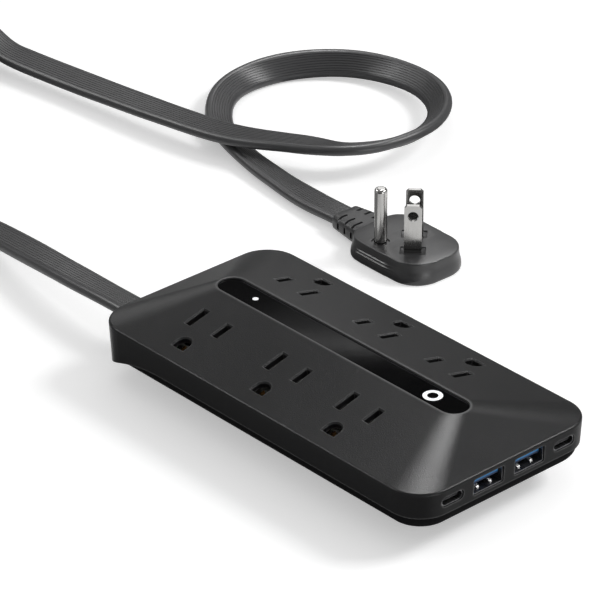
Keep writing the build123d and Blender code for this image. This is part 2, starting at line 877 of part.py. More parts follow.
def thermal_fuse():
    return Pos(surge_low_x + fuse_inset, fuse_y, surge_top + fuse_radius) * Rot(90, 0, 0) * Cylinder(fuse_radius, fuse_length)


# ---- Cord entry and leads ---------------------------------------------------------------------------------
def cord_gland():
    """Moulded bush through the end wall, held by a flange inside it."""
    sleeve = gland_section(0, cord_face, flange_x - cord_face)
    return sleeve + gland_section(gland_flange, flange_x, gland_flange_wall)




def cord_inner_end():
    place = Plane((jacket_start, exit_y, exit_z), x_dir=(0, 1, 0), z_dir=(1, 0, 0))
    return extrude(place * RectangleRounded(cord_width, cord_thickness, cord_round), jacket_length)


def cord_clamp():
    """Bar across the cord, with a leg at each end that stands on the saddle."""
    bar = block_on(clamp_x, exit_y, clamp_base, (clamp_length, clamp_width, clamp_height))
    for y in clamp_screw_places():
        bar = bar + post(clamp_x, y, clamp_seat, clamp_base, clamp_screw_radius + clamp_leg_wall)
        bar = bar - post(clamp_x, y, 0, case_height, clamp_screw_radius + screw_gap)
    return bar


def clamp_screws():
    top = clamp_base + clamp_height
    screws = []
    for y in clamp_screw_places():
        shank = post(clamp_x, y, clamp_seat - clamp_screw_depth, top, clamp_screw_radius)
        screws.append(shank + post(clamp_x, y, top, top + clamp_head_height, clamp_head_radius))
    return screws


def cover_screws():
    screws = []
    for x, y in corners(screw_x, screw_y):
        shank = post(x, y, screw_seat, screw_seat + screw_length, screw_radius)
        head = post(x, y, screw_seat - screw_head_height, screw_seat, screw_head_radius)
        screws.append(shank + head)
    return screws


def rubber_feet():
    return [post(x, y, 0, foot_height, foot_radius) for x, y in corners(foot_x, foot_y)]


# ---- Wires inside the case -------------------------------------------------------------------------
def wire(points):
    path = FilletPolyline(*points, radius=lead_bend)
    profile = Plane(origin=path @ 0, z_dir=path % 0) * Circle(lead_radius)
    return sweep(profile, path)


def bar_end(frame, y, z, end):
    """Middle of a bar's end face in case coordinates, at the cord end (-1) or the USB end (1)."""
    positions = outlet_positions
    low, high = bar_span(positions)
    x = low if end < 0 else high
    side = 1 if frame is near_row else -1
    return row_point(frame, side * x, y, z)


def bar_levels():
    """Middle of each kind of bar's section in the row frame."""
    level = -clip_depth - bar_wall / 2
    strip_level = -ground_clip_depth + ground_strip_height / 2
    return {
        "line": (line_bar_y, level),
        "neutral": (neutral_bar_y, level),
        "ground": (ground_strip_y, strip_level),
    }


def line_lead():
    """From the cord over the other leads to the surge board."""
    y = exit_y - lead_spread
    points = [
        (jacket_end, y, exit_z),
        (jacket_end + lead_reach, y, exit_z),
        (jacket_end + lead_reach, y, lead_crossing),
        (surge_low_x + line_pad_inset, lead_pad_y, lead_crossing),
        (surge_low_x + line_pad_inset, lead_pad_y, surge_top),
    ]
    return wire(points)


def neutral_lead():
    y = exit_y + lead_spread
    points = [
        (jacket_end, y, exit_z),
        (jacket_end + lead_reach, y, exit_z),
        (surge_low_x + neutral_pad_inset, lead_pad_y, exit_z),
        (surge_low_x + neutral_pad_inset, lead_pad_y, surge_top),
    ]
    return wire(points)


def ground_lead():
    """From the cord to the near ground strip."""
    x, y, z = bar_end(near_row, *bar_levels()["ground"], -1)
    points = [
        (jacket_end, exit_y, exit_z),
        (x - 2 * link_reach, exit_y, exit_z),
        (x - link_reach, y, z),
        (x, y, z),
    ]
    return wire(points)


def line_link():
    """Feed from the surge board to the near line bar, and the wire from there to the far one."""
    x, y, z = bar_end(near_row, *bar_levels()["line"], -1)
    feed = wire([
        (feed_x, surge_low_y + line_feed_inset, surge_top),
        (feed_x, surge_low_y + line_feed_inset, lead_height),
        (x - 2 * link_reach, y, z),
        (x, y, z),
    ])
    return [feed, bar_jumper("line", link_reach)]


def neutral_link():
    x, y, z = bar_end(near_row, *bar_levels()["neutral"], -1)
    start_y = surge_low_y + neutral_feed_inset
    feed = wire([
        (feed_x, start_y, surge_top),
        (feed_x, start_y, lead_height),
        (x - link_reach, start_y - link_reach, lead_height),
        (x - link_reach, y, z),
        (x, y, z),
    ])
    return [feed, bar_jumper("neutral", link_reach)]


def ground_link_lane():
    """Place along the case of the wire that crosses it between the ground strips."""
    return bar_end(near_row, *bar_levels()["ground"], 1)[0] + 2 * link_reach + lead_radius


def ground_link():
    """Wire between the ground strips, lowered under the USB board."""
    x, y, z = bar_end(near_row, *bar_levels()["ground"], 1)
    low_x = ground_link_lane()
    low_y = y + 2 * link_reach
    low_z = z - link_reach
    half = [(x, y, z), (x + link_reach, y, z), (low_x, low_y, low_z)]
    mirrored = [(px, -py, pz) for px, py, pz in reversed(half)]
    return wire(half + mirrored)


def bar_jumper(kind, reach):
    """Wire across the case that joins the near and the far bar at the USB end."""
    x, y, z = bar_end(near_row, *bar_levels()[kind], 1)
    return wire([(x, y, z), (x + reach, y, z), (x + reach, -y, z), (x, -y, z)])


# ---- Plug, lying on its flat side with the prongs up ---------------------------------------------------
plug_frame = Pos(plug_x, plug_y, 0) * Rot(0, 0, plug_yaw)
prong_frame = plug_frame * Pos(prong_x, prong_y, plug_height) * Rot(0, 0, prong_turn)
blade_places = {"line": blade_spacing / 2, "neutral": -blade_spacing / 2}


def plug_outline(grow, z):
    sheet = RectangleRounded(plug_length + 2 * grow, plug_width + 2 * grow, plug_nose_radius + grow)
    return Pos(0, 0, z) * sheet


def plug_body():
    """Flat moulded body, flared towards its base, with recesses around the prongs."""
    profile = [
        (plug_flare - plug_base_round, 0.0),
        (plug_flare, plug_flare_height),
        (plug_flare / 2, plug_waist_height),
        (0.0, plug_height - plug_top_round),
        (-plug_top_round, plug_height),
    ]
    sections = [plug_outline(grow, z) for grow, z in profile]
    layers = [loft([sections[i], sections[i + 1]], ruled=True) for i in range(len(sections) - 1)]
    body = plug_frame * union(layers)
    for y in blade_places.values():
        recess = box_between(
            (-recess_length / 2, y - recess_width / 2, -recess_depth),
            (recess_length / 2, y + recess_width / 2, cut_margin),
        )
        body = body - prong_frame * recess - prong_frame * blade_block(y, 0)
    ring = post(-ground_offset, 0, -recess_depth, cut_margin, recess_ring)
    return body - prong_frame * ring - prong_frame * post(-ground_offset, 0, -prong_root, cut_margin, pin_root_radius)


def blade_block(y, tip):
    half = blade_width / 2
    thin = blade_thickness / 2
    return box_between((-half, y - thin, -prong_root), (half, y + thin, tip))


def plug_blade(y):
    blade = blade_block(y, blade_length)
    tip_edges = blade.edges().filter_by(Axis.Y).group_by(Axis.Z)[-1]
    blade = chamfer(tip_edges, blade_tip_chamfer)
    hole = Pos(0, y, blade_length - blade_hole_drop) * Rot(90, 0, 0) * Cylinder(blade_hole_radius, blade_width)
    return prong_frame * (blade - hole)


def ground_pin():
    """Round pin on a narrower root."""
    pin = post(-ground_offset, 0, pin_root_stand, pin_length, pin_radius)
    pin = fillet(pin.edges().group_by(Axis.Z)[-1], pin_tip_round)
    return prong_frame * (pin + post(-ground_offset, 0, -prong_root, pin_root_stand, pin_root_radius))


def plug_relief():
    """Flexible neck between the plug and its cord, with slits across both faces."""
    start = -plug_length / 2
    root = Plane((start, 0, plug_cord_height), x_dir=(0, 1, 0), z_dir=(-1, 0, 0))
    tip = Plane((start - relief_length, 0, plug_cord_height), x_dir=(0, 1, 0), z_dir=(-1, 0, 0))
    neck = loft([
        root * RectangleRounded(relief_root_width, relief_root_height, relief_round),
        tip * RectangleRounded(relief_tip_width, relief_tip_height, relief_round),
    ], ruled=True)
    pitch = relief_length / (relief_slots + 1)
    for i in range(relief_slots):
        x = start - pitch * (i + 1)
        for side in (-1, 1):
            z = plug_cord_height + side * relief_tip_height / 2
            low = (x - relief_slot / 2, -relief_slot_length / 2, min(z, z - side * relief_slot))
            high = (x + relief_slot / 2, relief_slot_length / 2, max(z, z - side * relief_slot) + relief_slot)
            neck = neck - box_between(low, high)
    flared = plug_frame * neck
    return flared - plug_solid


# ---- Cord -----------------------------------------------------------------------------------------------
def bend_radii(points):
    """Radius of each corner: the largest whose arc takes 0.45 of the shorter run beside it."""
    radii = []
    for i in range(1, len(points) - 1):
        before = Vector(*points[i]) - Vector(*points[i - 1])
        after = Vector(*points[i + 1]) - Vector(*points[i])
        turn = before.get_angle(after)
        shorter = min(before.length, after.length)
        radii.append(0.45 * shorter / math.tan(math.radians(turn) / 2))
    return radii


def cord_tube(name, points):
    radii = bend_radii(points)
    path = FilletPolyline(*points, radius=radii)
    profile = Plane(origin=path @ 0, z_dir=path % 0) * Circle(cord_diameter / 2)
    tube = sweep(profile, path)
    expected = math.pi * (cord_diameter / 2) ** 2 * path.length
    print(name, "length", round(path.length, 1), "volume ratio", round(tube.volume / expected, 4))
    print(name, "radii", [round(radius) for radius in radii], "lowest", round(tube.bounding_box().min.Z, 2))
    return tube


def relief_tip():
    place = (plug_frame * Pos(-plug_length / 2 - relief_length, 0, plug_cord_height)).position
    return (place.X, place.Y, place.Z)


def coil_section(grow):
    place = Plane((coil_radius, 0, coil_lift + coil_height / 2), x_dir=(1, 0, 0), z_dir=(0, -1, 0))
    return place * RectangleRounded(coil_width + 2 * grow, coil_height + 2 * grow, coil_round + grow)


def cord_coil():
    return Pos(coil_x, coil_y, 0) * revolve(coil_section(0), Axis.Z)


def cord_tie():
    """Band around the coil's turns."""
    band = coil_section(tie_wall) - coil_section(0)
    sweep_angle = math.degrees(tie_width / coil_radius)
    return Pos(coil_x, coil_y, 0) * Rot(0, 0, tie_angle) * revolve(band, Axis.Z, sweep_angle)


# ---- All pieces, one file each ----------------------------------------------------------------------------
plug_solid = plug_body()

nodes = {
    "top_cover": top_cover(),
    "bottom_cover": bottom_cover(),
    "crest_panel": crest_panel(),
    "power_button": power_button(),
    "light_ring": ring_space(),
    "button_spring": button_spring(),
    "tact_switch": tact_switch(),
    "tact_plunger": tact_plunger(),
    "control_board": control_board(),
    "indicator_lens": indicator_lens(),
    "indicator_led": indicator_led(),
    "indicator_board": indicator_board(),
    "usb_board": usb_board(),
    "relay": block_on(usb_board_end - relay_inset, 0, usb_board_top, relay_size),
    "usb_transformer": block_on(usb_board_end - transformer_inset, transformer_y, usb_board_top, transformer_size),
    "usb_capacitors": usb_capacitors(),
    "surge_board": surge_board(),
    "varistors": varistors(),
    "thermal_fuse": thermal_fuse(),
    "filter_capacitor": block_on(surge_low_x + filter_inset, filter_y, surge_top, filter_size),
    "cord_gland": cord_gland(),
    "cord_inner_end": cord_inner_end(),
    "cord_clamp": cord_clamp(),
    "clamp_screws": clamp_screws(),
    "cover_screws": cover_screws(),
    "rubber_feet": rubber_feet(),
    "line_lead": line_lead(),
    "neutral_lead": neutral_lead(),
    "ground_lead": ground_lead(),
    "line_link": line_link(),
    "neutral_link": neutral_link(),
    "ground_link": ground_link(),
    "plug_body": plug_solid,
    "plug_relief": plug_relief(),
    "line_blade": plug_blade(blade_places["line"]),
    "neutral_blade": plug_blade(blade_places["neutral"]),
    "ground_pin": ground_pin(),
    "cord_lead": cord_tube("cord_lead", [(cord_face, exit_y, exit_z)] + lead_route),
    "cord_run": cord_tube("cord_run", [relief_tip()] + plug_route),
    "cord_coil": cord_coil(),
    "cord_tie": cord_tie(),
}
for side, (frame, positions) in row_frames.items():
    nodes[side + "_line_bus"] = frame * blade_bar(positions, line_shift, line_bar_y)
    nodes[side + "_neutral_bus"] = frame * blade_bar(positions, neutral_shift, neutral_bar_y)
    nodes[side + "_ground_bus"] = frame * ground_bar(positions)
    nodes[side + "_contact_carrier"] = frame * contact_carrier(positions)
for number, side in enumerate((-1, 1), start=1):
    nodes["usb_a_shell_" + str(number)] = usb_a_shell(side * usb_a_y)
    nodes["usb_a_insert_" + str(number)] = usb_a_insert(side * usb_a_y)
    nodes["usb_c_shell_" + str(number)] = usb_c_shell(side * usb_c_y)
    nodes["usb_c_insert_" + str(number)] = usb_c_insert(side * usb_c_y)

os.makedirs("parts", exist_ok=True)
for name, shape in nodes.items():
    solids = shape if isinstance(shape, list) else shape.solids()
    piece = solids[0] if len(solids) == 1 else Compound(children=list(solids))
    piece.label = name
    export_step(piece, "parts/" + name + ".step")
print(len(nodes), "nodes")
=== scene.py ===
"""Power strip with six outlets, four USB ports, a push button and a flat ribbed cord.

Frame: metres, origin under the middle of the case, +X towards the USB end, +Z up.
"""

import bmesh
import bpy
import json
import math
from mathutils import Euler, Matrix, Vector


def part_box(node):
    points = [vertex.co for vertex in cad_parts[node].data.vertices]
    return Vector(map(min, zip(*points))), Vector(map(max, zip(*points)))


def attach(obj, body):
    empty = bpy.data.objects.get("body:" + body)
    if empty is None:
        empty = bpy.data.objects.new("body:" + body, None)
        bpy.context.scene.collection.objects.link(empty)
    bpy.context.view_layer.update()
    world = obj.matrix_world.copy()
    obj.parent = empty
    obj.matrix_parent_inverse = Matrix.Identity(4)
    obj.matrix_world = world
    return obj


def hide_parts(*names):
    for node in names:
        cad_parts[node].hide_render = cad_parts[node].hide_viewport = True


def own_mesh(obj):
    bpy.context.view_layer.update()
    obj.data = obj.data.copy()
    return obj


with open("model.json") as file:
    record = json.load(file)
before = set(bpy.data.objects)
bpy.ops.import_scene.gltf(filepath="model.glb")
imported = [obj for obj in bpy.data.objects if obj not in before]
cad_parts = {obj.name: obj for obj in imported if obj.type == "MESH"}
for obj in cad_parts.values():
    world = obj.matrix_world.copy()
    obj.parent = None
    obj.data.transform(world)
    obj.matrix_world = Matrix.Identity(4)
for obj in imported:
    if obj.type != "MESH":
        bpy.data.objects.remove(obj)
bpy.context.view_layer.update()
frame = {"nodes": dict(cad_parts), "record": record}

mm = 0.001

# Angles in degrees, above which an edge stays sharp.
cord_smoothing = 50
plug_smoothing = 38
small_smoothing = 30


# ---- Small helpers ----
def active(piece):
    """Makes a piece the active one, and the only one selected."""
    bpy.ops.object.select_all(action="DESELECT")
    piece.select_set(True)
    bpy.context.view_layer.objects.active = piece


def into_edit(piece):
    active(piece)
    bpy.ops.object.mode_set(mode="EDIT")


def out_of_edit():
    bpy.ops.object.mode_set(mode="OBJECT")


def face_outward():
    """In edit mode, turns every face's normal outward."""
    bpy.ops.mesh.select_all(action="SELECT")
    bpy.ops.mesh.normals_make_consistent(inside=False)


def smooth(piece, degrees):
    """Shades a piece smoothly, apart from the edges that are sharper than an angle."""
    active(piece)
    bpy.ops.object.shade_smooth_by_angle(angle=math.radians(degrees))


def new_object(name, data):
    """An object in the scene that shows some data."""
    thing = bpy.data.objects.new(name, data)
    bpy.context.scene.collection.objects.link(thing)
    return thing


def new_mesh(name, points, faces):
    """A new mesh object at the origin."""
    mesh = bpy.data.meshes.new(name)
    mesh.from_pydata(points, [], faces)
    mesh.update()
    return new_object(name, mesh)


# ---- Camera ----
camera_azimuth = math.radians(48.28)
camera_elevation = math.radians(29.13)
camera_roll = math.radians(-0.29)
camera_distance = 1.302
camera_target = Vector((-0.06006, 0.03594, 0.01008))
camera_lens = 224.0
camera_sensor = 36.0
camera_clip = (0.05, 20.0)


def make_camera():
    data = bpy.data.cameras.new("camera")
    data.sensor_width = camera_sensor
    data.lens = camera_lens
    data.clip_start, data.clip_end = camera_clip
    camera = new_object("camera", data)
    level = Euler((math.pi / 2 - camera_elevation, 0.0, camera_azimuth)).to_matrix()
    turned = level @ Matrix.Rotation(camera_roll, 3, "Z")
    camera.rotation_euler = turned.to_euler()
    camera.location = camera_target + level @ Vector((0.0, 0.0, camera_distance))
    bpy.context.scene.camera = camera


make_camera()

# ---- Cord route ----
cord_width = 11.3 * mm
cord_thickness = 4.1 * mm
cord_exit = Vector((-79.18, -16.8, 15.5)) * mm
relief_tip = Vector((-104.545, 96.915, 4.2)) * mm
# The line ends inside the plug's neck.
held_end = Vector((-97.55, 96.79, 4.2)) * mm

# Each point: x, y, z in millimetres, and the tilt of the flat face in degrees. The lead runs from the
# case to the coil, and the other route from the plug back to the coil.
lead_route = [
    (-96, -16.8, 15.3, 0), (-124, -15.4, 13.6, -6), (-152, -12, 10.4, -12), (-180, -8.4, 6.6, -10),
    (-208, -8.8, 3.6, 0), (-238, -15.5, 2.6, 0), (-268, -26, 2.4, 0), (-296, -33, 2.5, 0),
    (-321, -35.9, 2.7, 0),
]
plug_route = [
    (-124, 97.6, 3.2, -4), (-147, 100.9, 2.6, 6), (-172, 105.0, 3.2, 16), (-197, 114.6, 3.5, 20),
    (-215.3, 135.8, 4.5, 32), (-213.6, 163.5, 5.5, 62), (-195.0, 187, 6.1, 50), (-164, 194, 6.6, 36),
    (-137.5, 180.5, 8.6, 40), (-122.8, 154.5, 10.9, 38), (-128.5, 125.5, 11.8, 20), (-148, 114, 11.8, 0),
    (-173, 102.5, 9.6, -8), (-198, 98.0, 9.2, -12), (-224, 95.0, 8.3, -16), (-252, 92.2, 7.4, -20),
    (-280, 88.6, 7.5, -18), (-294, 87.6, 7.7, -12), (-306, 88.8, 10.6, -4), (-318, 88.6, 14.4, 0),
    (-332, 85.6, 14.0, 0),
]
coil_middle = Vector((-338.0, 24.0)) * mm
coil_radius = 61.0 * mm
coil_turns = 2.5
coil_points = 16
coil_bottom = 2.85 * mm
coil_pitch = 4.25 * mm
# The smooth line cuts the corners between its controls, so they stand further out than the line.
control_radius = coil_radius / math.cos(math.pi / coil_points)
line_resolution = 8
control_window = 3


def coil_route():
    """Flat turns on each other, from the near side up to the far side."""
    route = []
    for i in range(1, int(coil_turns * coil_points)):
        angle = -math.pi / 2 - 2 * math.pi * i / coil_points
        x = coil_middle.x + control_radius * math.cos(angle)
        y = coil_middle.y + control_radius * math.sin(angle)
        route.append((x, y, coil_bottom + coil_pitch * i / coil_points, 0.0))
    return route


def cord_controls():
    """The whole route as points with tilts, from the case to the plug."""
    lead = [(x * mm, y * mm, z * mm, tilt) for x, y, z, tilt in lead_route]
    back = [(x * mm, y * mm, z * mm, -tilt) for x, y, z, tilt in reversed(plug_route)]
    ends = [(*relief_tip, 0.0), (*held_end, 0.0)]
    return [(*cord_exit, 0.0)] + lead + coil_route() + back + ends


def spline_points(controls):
    """Points along the smooth line that the route's points control."""
    curve = bpy.data.curves.new("cord_line", "CURVE")
    curve.dimensions = "3D"
    curve.resolution_u = line_resolution
    spline = curve.splines.new("NURBS")
    spline.points.add(len(controls) - 1)
    for point, (x, y, z, tilt) in zip(spline.points, controls):
        point.co = (x, y, z, 1.0)
    spline.order_u = 3
    spline.use_endpoint_u = True
    line = new_object("cord_line", curve)
    mesh = bpy.data.meshes.new_from_object(line)
    points = [vertex.co.copy() for vertex in mesh.vertices]
    bpy.data.objects.remove(line)
    bpy.data.meshes.remove(mesh)
    return points


def segment_gap(point, controls, i):
    """Distance from a point to the run between two controls, and the share of the run that it is along."""
    start = Vector(controls[i][:3])
    run = Vector(controls[i + 1][:3]) - start
    share = max(0.0, min(1.0, (point - start).dot(run) / run.length_squared))
    return (point - start - run * share).length, share


def control_tilts(points, controls):
    """Tilt at each point of the line, eased between the controls that it passes."""
    tilts = []
    nearest = 0
    for point in points:
        window = range(nearest, min(nearest + control_window, len(controls) - 1))
        nearest = min(window, key=lambda i: segment_gap(point, controls, i)[0])
        share = segment_gap(point, controls, nearest)[1]
        eased = share * share * (3 - 2 * share)
        tilts.append(controls[nearest][3] * (1 - eased) + controls[nearest + 1][3] * eased)
    return tilts


# ---- Flat ribbed cord ----
groove_count = 8
groove_pitch = 1.02 * mm
groove_width = 0.46 * mm
groove_depth = 0.2 * mm
edge_steps = 8


def face_profile():
    """Half section across one broad face: (across, up) pairs from left to right."""
    top = cord_thickness / 2
    first = -groove_pitch * (groove_count - 1) / 2
    half = groove_width / 2
    profile = []
    for i in range(groove_count):
        middle = first + i * groove_pitch
        profile.append((middle - half, top))
        profile.append((middle - half / 3, top - groove_depth))
        profile.append((middle + half / 3, top - groove_depth))
        profile.append((middle + half, top))
    return profile


def edge_profile():
    """Rounded edge on the right, from the upper face to the lower one."""
    radius = cord_thickness / 2
    middle = cord_width / 2 - radius
    angles = [math.pi / 2 - math.pi * i / edge_steps for i in range(edge_steps + 1)]
    return [(middle + radius * math.cos(angle), radius * math.sin(angle)) for angle in angles]


def cord_section():
    """Closed section, clockwise from the upper face's left end."""
    right = face_profile() + edge_profile()
    return right + [(-across, -up) for across, up in right]


def section_row(points, i, tilt, section):
    """The section's corners at one point of the line, with its flat face up and then tilted."""
    along = (points[min(i + 1, len(points) - 1)] - points[max(i - 1, 0)]).normalized()
    side = Vector((0.0, 0.0, 1.0)).cross(along).normalized()
    up = along.cross(side)
    across = side * math.cos(tilt) + up * math.sin(tilt)
    above = up * math.cos(tilt) - side * math.sin(tilt)
    return [points[i] + across * x + above * y for x, y in section]


def swept_faces(rows, count):
    """Faces between the rows of corners, and one on each end."""
    faces = []
    for i in range(rows - 1):
        for j in range(count):
            a = i * count + j
            b = i * count + (j + 1) % count
            faces.append((a, a + count, b + count, b))
    faces.append(tuple(range(count)))
    faces.append(tuple(reversed(range((rows - 1) * count, rows * count))))
    return faces


def running_lengths(steps):
    """Length run before each step, and after the last."""
    lengths = [0.0]
    for step in steps:
        lengths.append(lengths[-1] + step)
    return lengths


def swept_cord(name, points, tilts, section):
    """Mesh that carries the section along the points, with a map in millimetres round and along."""
    rows = [section_row(points, i, math.radians(tilt), section) for i, tilt in enumerate(tilts)]
    count = len(section)
    vertices = [vertex for row in rows for vertex in row]
    piece = new_mesh(name, vertices, swept_faces(len(rows), count))
    along = running_lengths((end - start).length for start, end in zip(points, points[1:]))
    corners = zip(section, section[1:] + section[:1])
    around = running_lengths(math.hypot(xb - xa, yb - ya) for (xa, ya), (xb, yb) in corners)
    layer = piece.data.uv_layers.new(name="UVMap")
    loop = 0
    for i in range(len(rows) - 1):
        for j in range(count):
            for row, column in ((i, j), (i + 1, j), (i + 1, j + 1), (i, j + 1)):
                layer.data[loop].uv = (around[column] / mm, along[row] / mm)
                loop += 1
    return piece


def make_cord():
    controls = cord_controls()
    points = spline_points(controls)
    tilts = control_tilts(points, controls)
    piece = swept_cord("power_cord", points, tilts, cord_section())
    into_edit(piece)
    face_outward()
    out_of_edit()
    smooth(piece, cord_smoothing)
    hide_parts("cord_lead", "cord_run", "cord_coil")
    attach(piece, "case")
    return piece, points


cord, cord_line = make_cord()


# ---- Nodes that the finishes are made of ----
def feed(tree, value, socket):
    """Gives a socket a value, or links another socket to it."""
    if isinstance(value, bpy.types.NodeSocket):
        tree.links.new(value, socket)
    else:
        socket.default_value = value


def set_inputs(node, **values):
    """Sets inputs named by their labels, with _ for a space."""
    for label, value in values.items():
        node.inputs[label.replace("_", " ")].default_value = value


def coordinates(tree, kind):
    return tree.nodes.new("ShaderNodeTexCoord").outputs[kind]


def math_node(tree, operation, first, second):
    """A Math node whose two sides are sockets or numbers."""
    node = tree.nodes.new("ShaderNodeMath")
    node.operation = operation
    feed(tree, first, node.inputs[0])
    feed(tree, second, node.inputs[1])
    return node.outputs["Value"]


def noise_node(tree, vector, scale, detail):
    node = tree.nodes.new("ShaderNodeTexNoise")
    set_inputs(node, Detail=detail)
    tree.links.new(vector, node.inputs["Vector"])
    feed(tree, scale, node.inputs["Scale"])
    return node.outputs["Fac"]


def sized_noise(tree, vector, size, detail):
    """Noise with features of a size in millimetres."""
    return noise_node(tree, vector, math_node(tree, "DIVIDE", 1.0 / mm, size), detail)


def bump_node(tree, height, strength, distance):
    node = tree.nodes.new("ShaderNodeBump")
    set_inputs(node, Distance=distance)
    feed(tree, strength, node.inputs["Strength"])
    tree.links.new(height, node.inputs["Height"])
    return node


def spread_node(tree, value, low, high):
    """Stretches the part of a value between low and high to 0..1."""
    node = tree.nodes.new("ShaderNodeMapRange")
    set_inputs(node, From_Min=low, From_Max=high)
    tree.links.new(value, node.inputs["Value"])
    return node.outputs["Result"]


def blend_values(tree, factor, low, high):
    """Turns a factor of 0..1 to the range between two numbers."""
    node = tree.nodes.new("ShaderNodeMapRange")
    set_inputs(node, To_Min=low, To_Max=high)
    tree.links.new(factor, node.inputs["Value"])
    return node.outputs["Result"]


# Places of the colour sockets on a Mix node, which has others of the same names.
mix_first, mix_second, mix_result = 6, 7, 2


def blend_colours(tree, factor, first, second):
    """A Mix node between two colours, each a socket or three numbers."""
    node = tree.nodes.new("ShaderNodeMix")
    node.data_type = "RGBA"
    tree.links.new(factor, node.inputs["Factor"])
    for place, colour in ((mix_first, first), (mix_second, second)):
        feed(tree, (*colour, 1.0) if isinstance(colour, tuple) else colour, node.inputs[place])
    return node.outputs[mix_result]


# ---- Effects that several finishes share ----
def start_group(name, inputs, outputs):
    """A shader node group with its named sockets, and its two end nodes."""
    group = bpy.data.node_groups.new(name, "ShaderNodeTree")
    for label, value in inputs.items():
        kind = "NodeSocketVector" if isinstance(value, tuple) else "NodeSocketFloat"
        group.interface.new_socket(label, in_out="INPUT", socket_type=kind).default_value = value
    for label in outputs:
        kind = "NodeSocketVector" if label == "Normal" else "NodeSocketFloat"
        group.interface.new_socket(label, in_out="OUTPUT", socket_type=kind)
    return group, group.nodes.new("NodeGroupInput"), group.nodes.new("NodeGroupOutput")


grain_bump = 0.2 * mm
line_bump = 0.05 * mm
edge_mask_samples = 4


def moulded_grain_group():
    """Fine spark-eroded grain, with broad patches of shine; sizes in millimetres."""
    inputs = {"Grain Size": 0.4, "Grain Depth": 0.3, "Patch Size": 30.0}
    group, start, end = start_group("moulded_grain", inputs, ("Grain", "Patch", "Normal"))
    place = coordinates(group, "Object")
    fine = sized_noise(group, place, start.outputs["Grain Size"], 3.0)
    broad = sized_noise(group, place, start.outputs["Patch Size"], 2.0)
    bump = bump_node(group, fine, start.outputs["Grain Depth"], grain_bump)
    group.links.new(spread_node(group, fine, 0.3, 0.7), end.inputs["Grain"])
    group.links.new(spread_node(group, broad, 0.2, 0.8), end.inputs["Patch"])
    group.links.new(bump.outputs["Normal"], end.inputs["Normal"])
    return group


def drawn_lines_group():
    """Fine lines along one direction, as on drawn or brushed metal; pitch in millimetres."""
    inputs = {"Stretch": (1.0, 1.0, 0.05), "Pitch": 0.25, "Line Depth": 0.15}
    group, start, end = start_group("drawn_lines", inputs, ("Lines", "Normal"))
    stretch = group.nodes.new("ShaderNodeVectorMath")
    stretch.operation = "MULTIPLY"
    group.links.new(coordinates(group, "Object"), stretch.inputs[0])
    group.links.new(start.outputs["Stretch"], stretch.inputs[1])
    lines = sized_noise(group, stretch.outputs["Vector"], start.outputs["Pitch"], 2.0)
    bump = bump_node(group, lines, start.outputs["Line Depth"], line_bump)
    group.links.new(spread_node(group, lines, 0.3, 0.7), end.inputs["Lines"])
    group.links.new(bump.outputs["Normal"], end.inputs["Normal"])
    return group


def edge_wear_and_highlight_group():
    """Mask of outer edges, broken up as handling rubs them, and left unbroken where it is made even, as a
    painted highlight along the edges; reach and size in millimetres.
    """
    inputs = {"Reach": 0.6, "Break Size": 2.0, "Evenness": 0.0}
    group, start, end = start_group("edge_wear_and_highlight", inputs, ("Wear And Highlight",))
    rounded = group.nodes.new("ShaderNodeBevel")
    rounded.samples = edge_mask_samples
    group.links.new(math_node(group, "MULTIPLY", start.outputs["Reach"], mm), rounded.inputs["Radius"])
    agree = group.nodes.new("ShaderNodeVectorMath")
    agree.operation = "DOT_PRODUCT"
    group.links.new(rounded.outputs["Normal"], agree.inputs[0])
    group.links.new(group.nodes.new("ShaderNodeNewGeometry").outputs["Normal"], agree.inputs[1])
    turned = math_node(group, "SUBTRACT", 1.0, agree.outputs["Value"])
    edge = spread_node(group, turned, 0.01, 0.2)
    patches = sized_noise(group, coordinates(group, "Object"), start.outputs["Break Size"], 3.0)
    broken = math_node(group, "MAXIMUM", spread_node(group, patches, 0.35, 0.65), start.outputs["Evenness"])
    group.links.new(math_node(group, "MULTIPLY", edge, broken), end.inputs["Wear And Highlight"])
    return group


moulded_grain = moulded_grain_group()
drawn_lines = drawn_lines_group()
edge_wear_and_highlight = edge_wear_and_highlight_group()


# ---- Building one material ----
def start_material(name):
    material = bpy.data.materials.new(name)
    material.use_nodes = True
    tree = material.node_tree
    return material, tree, tree.nodes["Principled BSDF"]


def add_effect(tree, group, **values):
    """A shared effect with its own settings, named as its sockets are."""
    node = tree.nodes.new("ShaderNodeGroup")
    node.node_tree = group
    set_inputs(node, **{label.title(): value for label, value in values.items()})
    return node


def dress(tree, shader, *sockets):
    """Links a finish's colour, roughness and, where it has one, normal to its shader."""
    for label, socket in zip(("Base Color", "Roughness", "Normal"), sockets):
        tree.links.new(socket, shader.inputs[label])


def shade(colour, factor):
    return tuple(part * factor for part in colour)


def grey(level):
    return (level, level, level, 1.0)


